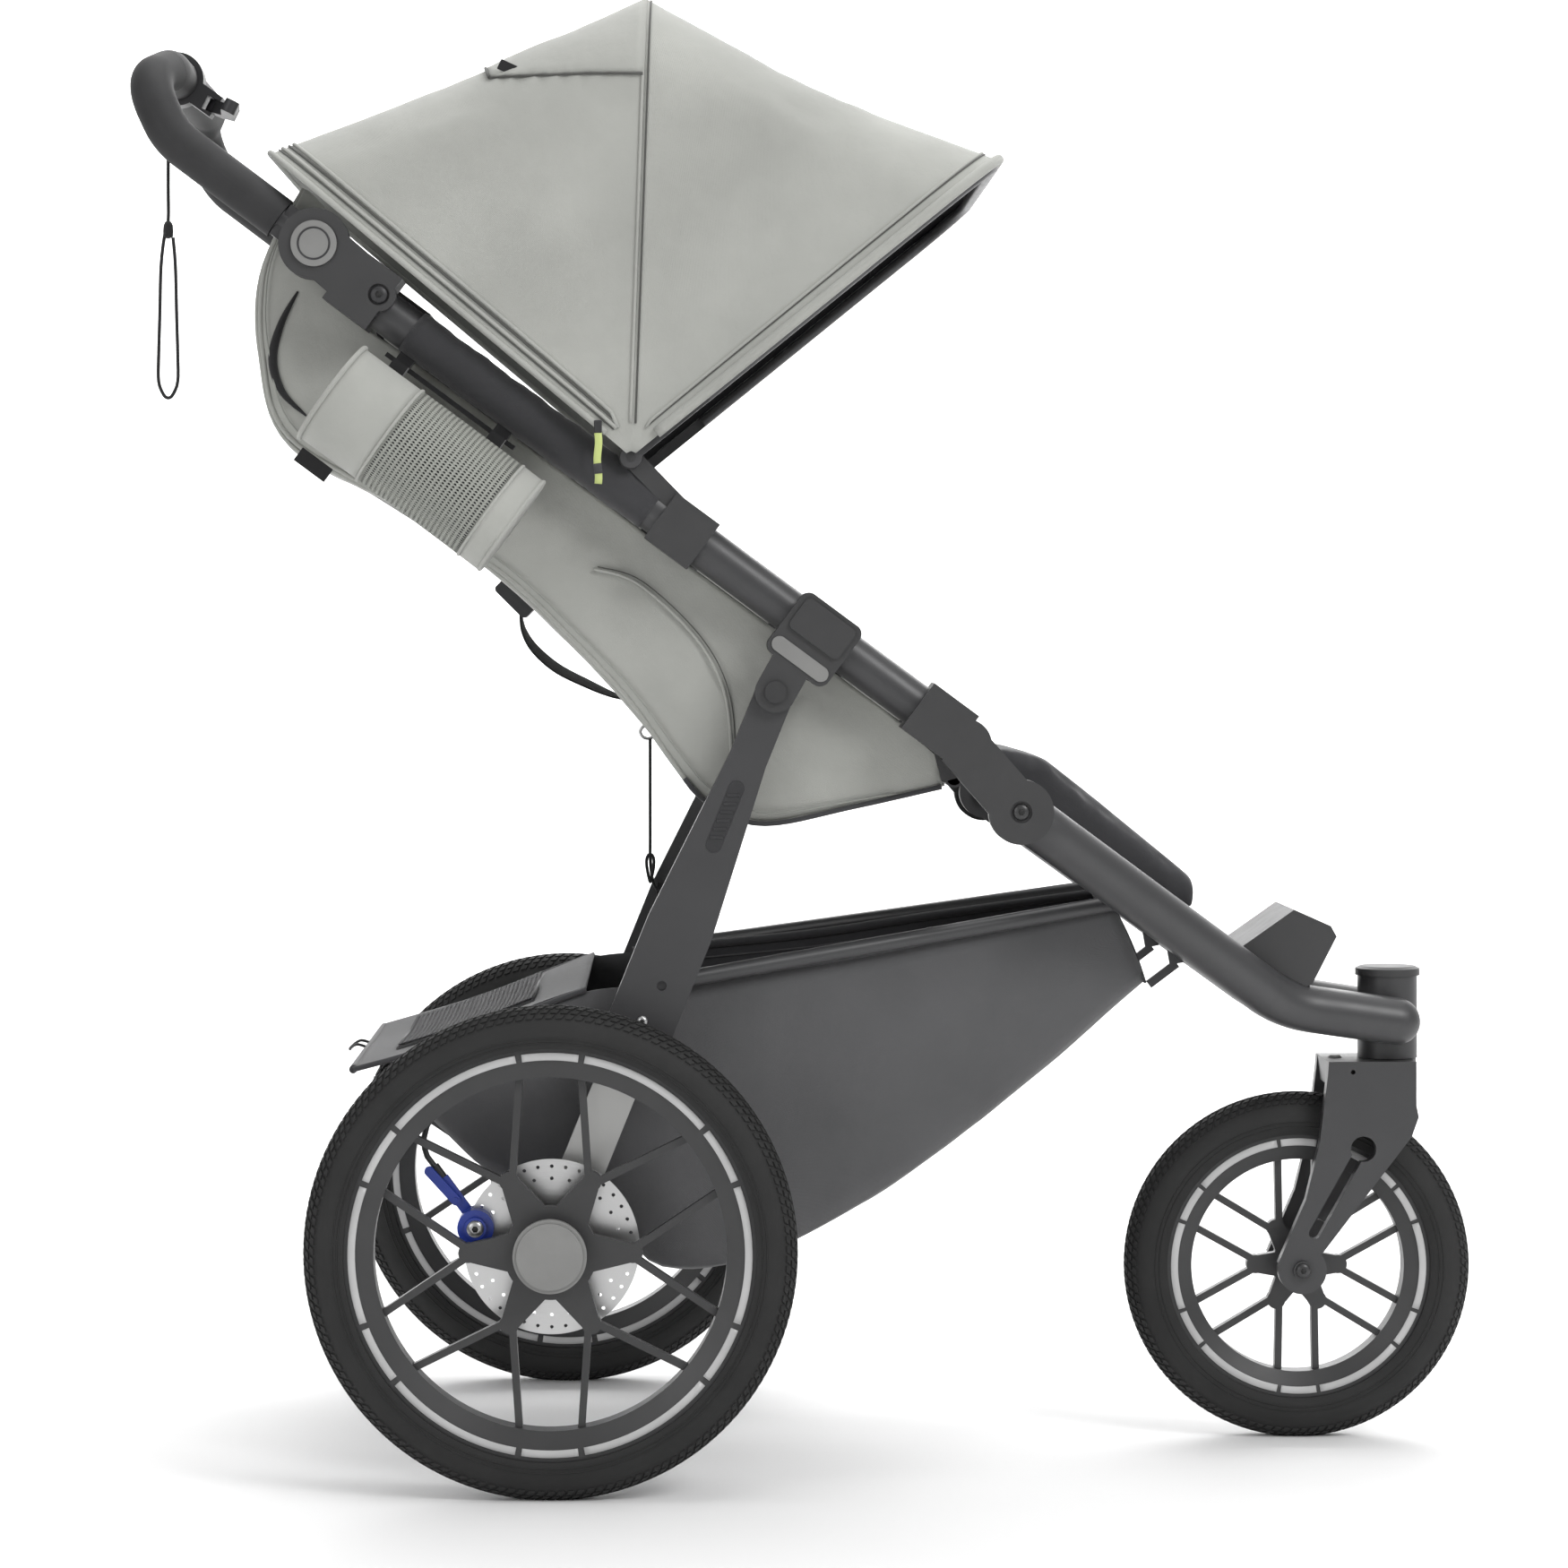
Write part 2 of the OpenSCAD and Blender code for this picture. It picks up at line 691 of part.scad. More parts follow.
// ==== fork and front wheel ====
module fork() {
  crown_back = swivel_x - 57;
  crown_front = swivel_x + 19;
  axle = front_axle_at;
  color("#4d4d4d") place() difference() {
    union() {
      both() slab(fork_in, fork_out) {
        polygon([
          [crown_back, crown_z], [crown_front, crown_z], [crown_front, crown_z - 38],
          [crown_front + 2, crown_z - 48], [crown_front - 4, crown_z - 65],
          axle + [17, 14], axle + [-21, 6], axle + [3, 61], axle + [15, 110],
          [crown_back - 1, crown_z - 12]
        ]);
        translate(axle) circle(r = 21);
      }
      slab(-fork_out, fork_out) polygon([
        [crown_back, crown_z], [crown_front, crown_z], [crown_front, crown_z - 22],
        [crown_back + 2, crown_z - 22]
      ]);
      translate([swivel_x, 0, crown_z - 22]) cylinder(d = head_tube_d - 2, h = 22);
      translate([swivel_x, 0, crown_z - 1]) cylinder(d = steerer_d, h = head_z1 - crown_z);
    }
    slab(-60, 60) capsule2(axle + [10.5, 32], axle + [51, 104], 10);
    slab(-60, 60) translate(axle + [53, 105]) circle(r = 11);
    slab(-60, 60) translate([crown_back + 21, crown_z - 9]) circle(d = crown_hole_d);
    rod(front_axle_at, -60, 60, front_axle_d / 2 + shaft_gap);
    translate([0, 0, 0]) rod(front_axle_at, -fork_in, fork_in, front_wheel_d / 2 + 3);
    translate([swivel_x, 0, crown_z - 30]) cylinder(d = steerer_d - 2 * steerer_wall, h = 140);
    translate([lock_x, 0, crown_z - 14]) cylinder(r = lock_r + run_gap / 2, h = 20);
  }
}

lock_x = swivel_x - 46;
lock_r = 6;

module swivel_lock() {
  color("#6d6d6d") place() translate([lock_x, 0, crown_z - 7.5]) {
    cylinder(r = lock_r, h = 8);
    translate([0, 0, 8]) cylinder(r1 = lock_r, r2 = lock_r - 1.5, h = 1.5);
  }
}

module front_axle() {
  color("#5c5c5c") place() {
    rod(front_axle_at, -fork_out - 1, fork_out + 1, front_axle_d / 2);
    both() rod(front_axle_at, fork_out, fork_out + 4, 8);
  }
}

// Tyre of outer diameter d and width w that sits on a rim of radius rim_r.
module tyre(centre, y, d, w, rim_r) {
  round_r = w / 2;
  wall = 4;
  translate([centre[0], y, centre[1]]) rotate([90, 0, 0]) rotate_extrude()
    difference() {
      intersection() {
        translate([d / 2 - round_r, 0]) circle(r = round_r);
        translate([rim_r, -w]) square([d, 2 * w]);
      }
      intersection() {
        translate([d / 2 - round_r, 0]) circle(r = round_r - wall);
        translate([rim_r + 5, -w]) square([d, 2 * w]);
      }
      translate([rim_r - 1, -w * 0.28]) square([7, w * 0.56]);
    }
}

// Rim, twin spokes, star web and hub in one casting, lying along Y at y.
module spoked_rim(centre, y, rim_r, rim_in, rim_w, node_r, web_r, hub_r, hub0, hub1, bore) {
  spoke_turn = 20;
  spoke_w = 6;
  translate([centre[0], y, centre[1]]) rotate([90, 0, 0]) {
    rotate_extrude() difference() {
      polygon([
        [rim_in, -rim_w * 0.32], [rim_r - 8, -rim_w / 2], [rim_r, -rim_w / 2],
        [rim_r, rim_w / 2], [rim_r - 8, rim_w / 2], [rim_in, rim_w * 0.32]
      ]);
      polygon([
        [rim_in + 4, -rim_w * 0.22], [rim_r - 6, -rim_w * 0.36],
        [rim_r + 1, -rim_w * 0.36], [rim_r + 1, rim_w * 0.36],
        [rim_r - 6, rim_w * 0.36], [rim_in + 4, rim_w * 0.22]
      ]);
    }
    difference() {
      union() {
        translate([0, 0, -5]) linear_extrude(height = 10) {
          circle(r = web_r);
          for (k = [0:5]) rotate(60 * k) {
            polygon([
              [0, -web_r * 0.62], [node_r - 8, -8], [node_r, -6], [node_r, 6],
              [node_r - 8, 8], [0, web_r * 0.62]
            ]);
            translate([node_r - 5, 0]) circle(r = 8);
            for (s = [-1, 1])
              bar2([node_r - 5, s * 3],
                (rim_in + 2) * [cos(spoke_turn), s * sin(spoke_turn)], spoke_w);
          }
        }
        translate([0, 0, hub0]) cylinder(r = hub_r, h = hub1 - hub0);
      }
      translate([0, 0, hub0 - 1]) cylinder(r = bore, h = hub1 - hub0 + 2);
    }
  }
}

front_rim_r = front_wheel_d / 2 - 35;
rear_rim_r = rear_wheel_d / 2 - 32.5;

module front_tyre() {
  color("#2e2e2e") place() tyre(front_axle_at, 0, front_wheel_d, front_tyre_w, front_rim_r);
}

module front_rim() {
  color("#484848") place()
    spoked_rim(front_axle_at, 0, front_rim_r, front_rim_r - 22, front_tyre_w * 0.7, 41, 22, 14,
      -fork_in + run_gap, fork_in - run_gap, front_axle_d / 2 + shaft_gap);
}

// ==== rear legs ====
module leg_outline(inset) {
  polygon([
    on_leg(0, -16 + inset), on_leg(60, -16 + inset), on_leg(210, -28 + inset),
    on_leg(leg_end - inset, -28 + inset), on_leg(leg_end - inset, 28 - inset),
    on_leg(210, 28 - inset), on_leg(60, 16 - inset), on_leg(0, 16 - inset)
  ]);
}

module rear_legs() {
  color("#505050") place() both() difference() {
    slab(leg_in, leg_out) {
      leg_outline(0);
      translate(leg_pivot) circle(r = 16);
    }
    slab(leg_in + 3, leg_out - 3) difference() {
      leg_outline(4);
      translate(leg_pivot) circle(r = 24);
      translate(rail_rear) circle(r = 9);
      translate(on_leg(leg_end)) circle(r = 20);
    }
    rod(leg_pivot, leg_in - 1, leg_out + 1, hinge_bolt_d / 2 + shaft_gap);
    slab(leg_out - 2, leg_out + 1) leg_insert_outline(0.1);
    rod(rail_rear, leg_in - 1, leg_out + 1, 4 + shaft_gap);
  }
}

module leg_insert_outline(gap) {
  capsule2(on_leg(86), on_leg(136), 13 + 2 * gap);
}

module leg_inserts() {
  color("#333335") place() both() slab(leg_out - 2, leg_out + 0.5) leg_insert_outline(0);
}

// Light lower ends of the legs, down to the axle.
module leg_struts() {
  color("#a8a8a6") place() both() difference() {
    slab(leg_in + 2, leg_out - 2) {
      bar2(on_leg(leg_end + 0.1), on_leg(leg_len), 37);
      translate(rear_axle) circle(r = 20);
    }
    rod(rear_axle, leg_in - 1, leg_out + 1, rear_axle_d / 2 + shaft_gap);
  }
}

// Beam across the rear legs with a stub axle welded into each end.
module axle_beam() {
  plug = 13;
  color("#3d3d3f") place() {
    slab(-leg_in - 2, leg_in + 2) translate(rear_axle) ring(15, 2.5);
    both() {
      rod(rear_axle, leg_in - 40, hub_out - 2, rear_axle_d / 2);
      rod(rear_axle, leg_in - 40, leg_in - 4, plug);
      rod(rear_axle, leg_out - 2, disc_y - run_gap, rear_axle_d / 2 + 4);
    }
  }
}

cover_half = leg_in - 12;

module rear_cover() {
  color("#4d4d50") place() slab(-cover_half, cover_half) polygon([
    [28, 409], [26, 403.4], [-60, 370], [-166, 337], [-168, 342], [-62, 375.5]
  ]);
}

// Cargo basket: a tub that narrows to the front, hung between the side rails.
basket_outline = [
  [-150, 332], [-104, 296], [-66, 254], [-30, 233], [30, 222], [60, 190], [87, 166],
  [145, 165], [206, 185], [289, 231], [358, 280], [418, 327], [475, 376], [506, 403],
  [480, 466], [325, 442], [231, 426], [132, 414], [24, 402]
];
basket_inner = [
  [-120, 332], [-98, 300], [-62, 258], [-29, 237], [32, 226], [63, 192], [89, 169.5],
  [144, 168.5], [204, 188.5], [287, 234.5], [355.5, 283.5], [415.5, 331], [472, 379.5],
  [500, 404], [474, 520], [24, 520], [22, 395]
];

module basket_plan(inset) {
  y0 = rail_y0 - rail_d / 2 - soft_gap - inset;
  y1 = rail_y1 - rail_d / 2 - soft_gap - inset;
  polygon([
    [-200, -y0], [rail_rear[0], -y0], [rail_front[0] + 10, -y1],
    [rail_front[0] + 10, y1], [rail_rear[0], y0], [-200, y0]
  ]);
}

module basket() {
  color("#3e3e40") place() difference() {
    intersection() {
      slab(-250, 250) polygon(basket_outline);
      linear_extrude(height = 600) basket_plan(0);
    }
    intersection() {
      slab(-250, 250) polygon(basket_inner);
      linear_extrude(height = 600) basket_plan(fabric_t);
    }
  }
}

module side_rails() {
  color("#5a5a5a") place() both() difference() {
    union() {
      pipe([at(rail_rear, rail_y0), at(rail_front, rail_y1)], [], rail_d / 2);
      rod(rail_rear, rail_y0 - 4, leg_in - run_gap / 2, rail_d / 2);
      rod(rail_rear, leg_in - 4, leg_out - 4, 4);
      rod(rail_front, rail_y1 - 6, rail_y1 + 3, rail_d / 2);
    }
    pipe([at(rail_rear, rail_y0), at(rail_front, rail_y1)], [], rail_d / 2 - 1.6);
  }
}

// ==== brakes ====
caliper_at = rear_axle + [-62, 17];
caliper_arm_at = caliper_at + [-7, 22];

module calipers() {
  color("#1f3fa8") place() both() {
    difference() {
      union() {
        rod(caliper_at, leg_out + 3, disc_y - 1.2, 15);
        rod(caliper_at, disc_y + 3.2, disc_y + 18, 15);
        slab(leg_out + 3, disc_y + 18) intersection() {
          translate(caliper_at) circle(r = 15);
          translate(rear_axle) difference() {
            circle(r = 90);
            circle(r = brake_disc_d / 2 + 2);
          }
        }
        slab(leg_out + 3, leg_out + 9) bar2(rear_axle, caliper_at, 18);
        rod(rear_axle, leg_out, leg_out + 9, 15);
        slab(leg_out + 3, leg_out + 10) bar2(caliper_at, caliper_at + [-28, 38], 9);
      }
      rod(rear_axle, leg_in, disc_y, rear_axle_d / 2 + 4.1);
    }
    rod(caliper_at, disc_y + 18, disc_y + 22, 9);
    rod(caliper_arm_at + [-10, -2], leg_out + 9, disc_y - 2, 2.5);
  }
}

module caliper_arm() {
  difference() {
    slab(leg_out + 10.6, disc_y - 3) {
      capsule2(caliper_arm_at + [-10, -2], caliper_arm_at + [-32, 22], 8);
    }
    rod(caliper_arm_at + [-10, -2], leg_out, disc_y, 2.5 + shaft_gap);
  }
}

module caliper_arm_right() {
  color("#2746b4") place() mirror([0, 1, 0]) caliper_arm();
}

module caliper_arm_left() {
  color("#2746b4") place() caliper_arm();
}

cable_dir = unit([-28, 38]);
cable_start = caliper_at + [-28, 38] + 12.2 * cable_dir;
cable_y = leg_out + 6.5;
cable_route = [
  [cable_start[0], cable_y, cable_start[1]], [-105, 250, 275], [-106, 249, 292],
  [-96, 246, 312], [-74, 242, 328], [-46, 238, 338], [-16, 236, 345], [10, 236, 350],
  [31.6, 236, 352]
];

module brake_cables() {
  from = caliper_at + [-28, 38] + 0.2 * cable_dir;
  color("#1c1c1e") place() both() {
    cord(rounded_route(cable_route), 5);
    frame_at(at(from, cable_y), [0, 1, 0], [cable_dir[0], 0, cable_dir[1]])
      cylinder(r = 4, h = 12);
  }
}

module brake_disc() {
  difference() {
    rod(rear_axle, disc_y, disc_y + 2, brake_disc_d / 2);
    rod(rear_axle, disc_y - 1, disc_y + 3, rear_axle_d / 2 + shaft_gap);
    for (k = [0:35]) translate([0, 0, 0])
      rod(rear_axle + (brake_disc_d / 2 - 6) * [cos(10 * k), sin(10 * k)],
        disc_y - 1, disc_y + 3, 1.5, $fn = 16);
    for (k = [0:23])
      rod(rear_axle + (brake_disc_d / 2 - 16) * [cos(15 * k), sin(15 * k)],
        disc_y - 1, disc_y + 3, 1.5, $fn = 16);
  }
}

module brake_disc_right() {
  color("#cfcfcf") place() mirror([0, 1, 0]) brake_disc();
}

module brake_disc_left() {
  color("#cfcfcf") place() brake_disc();
}

// ==== rear wheels ====
module rear_rim() {
  spoked_rim(rear_axle, wheel_y, rear_rim_r, rear_rim_r - 24, rear_tyre_w * 0.74, 72, 38, 24,
    -hub_out + wheel_y, wheel_y - hub_in, rear_axle_d / 2 + shaft_gap);
}

module rear_rim_right() {
  color("#484848") place() mirror([0, 1, 0]) rear_rim();
}

module rear_rim_left() {
  color("#484848") place() rear_rim();
}

module rear_tyre_right() {
  color("#2e2e2e") place() tyre(rear_axle, -wheel_y, rear_wheel_d, rear_tyre_w, rear_rim_r);
}

module rear_tyre_left() {
  color("#2e2e2e") place() tyre(rear_axle, wheel_y, rear_wheel_d, rear_tyre_w, rear_rim_r);
}

module hub_cap() {
  rod(rear_axle, hub_out, hub_out + 6, 30);
  rod(rear_axle, hub_out + 6, hub_out + 8, 27);
}

module hub_cap_right() {
  color("#8e8e8c") place() mirror([0, 1, 0]) hub_cap();
}

module hub_cap_left() {
  color("#8e8e8c") place() hub_cap();
}

// ==== handlebar ====
handle_path = [
  at(handle_pivot + [-24.5, 18.4], tube_y), at(arm_bend, tube_y), at(arm_top, tube_y - 8),
  at(bar_at, tube_y - 62), at(bar_at, 62 - tube_y), at(arm_top, 8 - tube_y),
  at(arm_bend, -tube_y), at(handle_pivot + [-24.5, 18.4], -tube_y)
];
handle_bends = [60, 34, 40, 40, 34, 60];

module handlebar() {
  color("#3b3b3d") place() {
    pipe(handle_path, handle_bends, handle_tube_d / 2, 2);
    both() difference() {
      union() {
        rod(handle_pivot, tube_y - 12, eye_w, joint_r - 1);
        slab(tube_y - 12, eye_w) bar2(handle_pivot, handle_pivot + [-29, 21.8], 30);
      }
      rod(handle_pivot, tube_y - 13, eye_w + 1, hinge_bolt_d / 2 + shaft_gap);
      pipe([handle_path[0], handle_path[1]], [], handle_tube_d / 2 - 2);
    }
  }
}

grip_path = concat([at(handle_pivot + [-30, 22.5], tube_y)],
  [for (i = [1:len(handle_path) - 2]) handle_path[i]],
  [at(handle_pivot + [-30, 22.5], -tube_y)]);

module handle_grip() {
  color("#3a3a3c") place()
    pipe(grip_path, handle_bends, grip_r, grip_r - handle_tube_d / 2 - shaft_gap);
}

module handle_button() {
  rod(handle_pivot, cheek_out - 4.5, cheek_out + 3, button_d / 2);
}

module handle_button_right() {
  color("#9b9b99") place() mirror([0, 1, 0]) handle_button();
}

module handle_button_left() {
  color("#9b9b99") place() handle_button();
}

// Brake lever and the clamp that holds it on the cross bar.
lever_away = unit([0.9, -0.44]);
lever_up = [-lever_away[1], lever_away[0]];
lever_pivot = bar_at + 41 * lever_away - 7 * lever_up;
lever_y = -88;

module lever_bracket() {
  color("#38383a") place() difference() {
    union() {
      rod(bar_at, lever_y - 12, lever_y + 12, grip_r + 5);
      slab(lever_y - 12, lever_y + 12) bar2(bar_at, lever_pivot, 20);
    }
    rod(bar_at, lever_y - 13, lever_y + 13, grip_r + 0.1);
    slab(lever_y - 13, lever_y + 13) translate(lever_pivot)
      rotate(atan2(lever_away[1], lever_away[0])) translate([-11, -6.2]) square([40, 12.4]);
  }
}

module brake_lever() {
  color("#39393b") place() at_lever() linear_extrude(height = 11, center = true) {
    circle(r = 9);
    capsule2([0, 0], [16, 34], 13);
    capsule2([16, 34], [24, 112], 12);
  }
}

// Local frame of the lever: x away from the bar, y along it, z along the pivot.
module at_lever() {
  frame_at(at(lever_pivot, lever_y), [lever_away[0], 0, lever_away[1]],
    [lever_up[0], 0, lever_up[1]] * -1) children();
}

// Wrist strap: a cord from the bar down to a knot and a long loop back to it.
strap_top = [handle_pivot[0] - 125.5, -198.5, handle_pivot[1] + 109];
strap_route = [
  [-1.5, -2.5, 0], [-0.5, -0.6, -7], [0, 0, -16], [0, 0, -32], [0, 0, -60], [0, 0, -86],
  [-3, 0, -98], [-6, 0, -124], [-7, 0, -164], [-8, 0, -199], [-8, 0, -220], [-4, 0, -231],
  [0, 0, -234], [4, 0, -231], [8, 0, -220], [8, 0, -199], [7, 0, -164], [6, 0, -124], [4, 0, -100]
];

module wrist_strap() {
  color("#3c3c3e") place() translate(strap_top) cord(strap_route, 3);
}

main_tubes();
handle_hinges();
leg_brackets();
bracket_inserts();
front_joints();
frame_bolts();
front_cross_bar();
seat_shell();
seat_cushion();
crotch_buckle();
canopy_clips();
canopy_rear();
cup_pocket();
cup_hanger();
calf_pad();
recline_strap();
recline_buckle();
seat_tether();
seat_back();
shoulder_harness();
front_tubes();
head_tube();
head_cap();
head_bearings();
footrest();
basket_hooks();
fork();
front_axle();
swivel_lock();
front_tyre();
front_rim();
rear_legs();
leg_struts();
leg_inserts();
axle_beam();
rear_cover();
basket();
calipers();
brake_cables();
side_rails();
rear_tyre_right();
rear_rim_right();
brake_disc_right();
hub_cap_right();
rear_tyre_left();
rear_rim_left();
brake_disc_left();
hub_cap_left();
handlebar();
handle_grip();
lever_bracket();
wrist_strap();
brake_lever();
handle_button_right();
handle_button_left();
caliper_arm_right();
caliper_arm_left();
canopy_mid_bow();
canopy_front_bow();
canopy_front();
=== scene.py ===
import json
import math

import bmesh
import bpy
import numpy as np
from mathutils import Matrix, Vector, noise


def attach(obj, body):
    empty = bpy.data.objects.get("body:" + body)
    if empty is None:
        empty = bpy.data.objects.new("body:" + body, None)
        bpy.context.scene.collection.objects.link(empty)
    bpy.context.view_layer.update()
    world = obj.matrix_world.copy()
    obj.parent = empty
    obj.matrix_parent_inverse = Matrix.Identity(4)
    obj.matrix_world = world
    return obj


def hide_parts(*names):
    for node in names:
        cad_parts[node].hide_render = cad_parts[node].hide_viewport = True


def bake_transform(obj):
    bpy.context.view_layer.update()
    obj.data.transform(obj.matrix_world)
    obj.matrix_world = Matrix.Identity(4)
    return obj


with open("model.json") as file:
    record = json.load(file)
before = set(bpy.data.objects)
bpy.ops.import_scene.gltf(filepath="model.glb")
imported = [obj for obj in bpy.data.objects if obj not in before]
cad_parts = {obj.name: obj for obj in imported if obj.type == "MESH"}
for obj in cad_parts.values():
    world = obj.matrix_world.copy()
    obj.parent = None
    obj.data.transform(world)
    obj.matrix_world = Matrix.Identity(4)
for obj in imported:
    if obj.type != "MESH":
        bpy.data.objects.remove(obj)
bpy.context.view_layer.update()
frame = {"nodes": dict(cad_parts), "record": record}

# ---- shared values, in millimetres from the rear axle and the ground ----
MID = 221.4
SLOPE = math.radians(36.5)
DOWN = np.array([math.cos(SLOPE), -math.sin(SLOPE)])
UP = np.array([math.sin(SLOPE), math.cos(SLOPE)])
LEG_TOP = np.array([184.0, 655.0])
TUBE = LEG_TOP + 61 * UP
PIVOT = TUBE - 211 * DOWN + 24 * UP
HANDLE = TUBE - 526 * DOWN + 10 * UP
FRONT_HINGE = TUBE + 222 * DOWN - 20 * UP
REAR_AXLE = np.array([0.0, 200.0])
FRONT_AXLE = np.array([646.0, 150.0])
LEG_DIR = (REAR_AXLE - LEG_TOP) / np.linalg.norm(REAR_AXLE - LEG_TOP)
SIDES = ((-1, "right"), (1, "left"))


def mm(x, y, z):
    return Vector(((x - MID) / 1000, y / 1000, z / 1000))


def on_tube(along, above=0.0):
    return TUBE + along * DOWN + above * UP


def at(p, y):
    return mm(p[0], y, p[1])


def side_circle(centre, radius, y, count):
    """Circle about a cross axis, as points in metres."""
    return [
        mm(centre[0] + radius * math.cos(a), y, centre[1] + radius * math.sin(a))
        for a in np.linspace(0, 2 * math.pi, count, endpoint=False)
    ]


# ---- camera, first ----
camera = bpy.data.objects.new("camera", bpy.data.cameras.new("camera"))
bpy.context.scene.collection.objects.link(camera)
camera.data.lens = 107.26
camera.data.sensor_width = 36
camera.data.shift_x = 0.0674
camera.data.shift_y = -0.1023
camera.data.clip_end = 60
camera.location = (-0.1175, -4.10, 0.7115)
camera.rotation_euler = (math.radians(90), 0, 0)
bpy.context.scene.camera = camera


# ---- materials ----
class Nodes:
    """Small helper that builds a shader tree."""

    def __init__(self, name, color, rough, metallic=0.0):
        self.mat = bpy.data.materials.new(name)
        self.mat.use_nodes = True
        self.tree = self.mat.node_tree
        self.bsdf = self.tree.nodes["Principled BSDF"]
        self.out = self.tree.nodes["Material Output"]
        self.bsdf.inputs["Base Color"].default_value = (*color, 1)
        self.bsdf.inputs["Roughness"].default_value = rough
        self.bsdf.inputs["Metallic"].default_value = metallic
        self.color = color
        self.normal = None

    def add(self, kind, **values):
        node = self.tree.nodes.new(kind)
        for key, value in values.items():
            if hasattr(node, key):
                setattr(node, key, value)
            else:
                node.inputs[key.replace("_", " ")].default_value = value
        return node

    def link(self, a, b):
        self.tree.links.new(a, b)

    def coords(self, kind="Object"):
        return self.add("ShaderNodeTexCoord").outputs[kind]

    def noise(self, scale, detail=3.0, stretch=None, kind="Object"):
        tex = self.add("ShaderNodeTexNoise")
        tex.inputs["Scale"].default_value = scale
        tex.inputs["Detail"].default_value = detail
        source = self.coords(kind)
        if stretch:
            mapping = self.add("ShaderNodeMapping")
            mapping.inputs["Scale"].default_value = stretch
            self.link(source, mapping.inputs["Vector"])
            source = mapping.outputs["Vector"]
        self.link(source, tex.inputs["Vector"])
        return tex.outputs["Fac"]

    def bump(self, height, strength, distance):
        node = self.add("ShaderNodeBump")
        node.inputs["Strength"].default_value = strength
        node.inputs["Distance"].default_value = distance
        self.link(height, node.inputs["Height"])
        if self.normal:
            self.link(self.normal, node.inputs["Normal"])
        self.normal = node.outputs["Normal"]
        self.link(self.normal, self.bsdf.inputs["Normal"])

    def mix_color(self, fac, low, high, a=0.0, b=1.0):
        ramp = self.add("ShaderNodeMapRange")
        ramp.inputs["From Min"].default_value = a
        ramp.inputs["From Max"].default_value = b
        self.link(fac, ramp.inputs["Value"])
        mix = self.add("ShaderNodeMix", data_type="RGBA")
        mix.inputs["A"].default_value = (*low, 1)
        mix.inputs["B"].default_value = (*high, 1)
        self.link(ramp.outputs["Result"], mix.inputs["Factor"])
        self.link(mix.outputs["Result"], self.bsdf.inputs["Base Color"])

    def rough_range(self, fac, low, high):
        ramp = self.add("ShaderNodeMapRange")
        ramp.inputs["To Min"].default_value = low
        ramp.inputs["To Max"].default_value = high
        self.link(fac, ramp.inputs["Value"])
        self.link(ramp.outputs["Result"], self.bsdf.inputs["Roughness"])

    def calc(self, operation, a, b=None):
        """Output of one math node, whose inputs are sockets or numbers."""
        node = self.add("ShaderNodeMath", operation=operation)
        for socket, value in zip(node.inputs, (a, b)):
            if isinstance(value, (int, float)):
                socket.default_value = value
            elif value is not None:
                self.link(value, socket)
        return node.outputs[0]

    def waves(self, operation, pitches):
        """One wave along each direction of the cloth, with the pitches in metres."""
        split = self.add("ShaderNodeSeparateXYZ")
        self.link(self.coords("UV"), split.inputs["Vector"])
        return [
            self.calc(operation, self.calc("MULTIPLY", split.outputs[axis], 2 * math.pi / pitch))
            for axis, pitch in zip(("X", "Y"), pitches)
        ]

    def weave(self, pitch):
        """Height of a plain weave whose threads are pitch metres apart."""
        return self.calc("MULTIPLY", *self.waves("SINE", (pitch, pitch)))


def shade(color, k):
    return tuple(min(1.0, c * k) for c in color)


def fabric(name, color, rough=0.85, pitch=0.0011, wear=0.10):
    n = Nodes(name, color, rough)
    n.bsdf.inputs["Sheen Weight"].default_value = 0.25
    n.bsdf.inputs["Sheen Roughness"].default_value = 0.5
    n.bsdf.inputs["Specular IOR Level"].default_value = 0.25
    n.mix_color(n.noise(9, 5), shade(color, 1 - wear), shade(color, 1 + wear), 0.3, 0.7)
    n.bump(n.weave(pitch), 0.35, 0.0004)
    n.bump(n.noise(900, 3), 0.25, 0.0006)
    n.bump(n.noise(55, 4), 0.22, 0.004)
    return n.mat


def painted(name, color, rough=0.42, grain=500.0):
    n = Nodes(name, color, rough)
    n.bsdf.inputs["Coat Weight"].default_value = 0.12
    n.bsdf.inputs["Coat Roughness"].default_value = 0.3
    n.mix_color(n.noise(14, 4), shade(color, 0.93), shade(color, 1.08), 0.3, 0.7)
    n.rough_range(n.noise(40, 4), rough - 0.07, rough + 0.1)
    n.bump(n.noise(grain, 2), 0.12, 0.0003)
    return n.mat


def plastic(name, color, rough=0.5, grain=1400.0):
    n = Nodes(name, color, rough)
    n.mix_color(n.noise(20, 4), shade(color, 0.92), shade(color, 1.08), 0.3, 0.7)
    n.rough_range(n.noise(60, 3), rough - 0.06, rough + 0.08)
    n.bump(n.noise(grain, 1), 0.25, 0.0002)
    return n.mat


def metal(name, color, rough=0.3, stretch=None):
    n = Nodes(name, color, rough, 1.0)
    n.rough_range(n.noise(60, 5, stretch), rough - 0.08, rough + 0.12)
    n.bump(n.noise(300, 2, stretch), 0.08, 0.0002)
    return n.mat


def rubber(name, color, rough=0.75):
    n = Nodes(name, color, rough)
    n.mix_color(n.noise(25, 5), shade(color, 0.85), shade(color, 1.25), 0.3, 0.7)
    n.bump(n.noise(1200, 2), 0.3, 0.0003)
    return n.mat


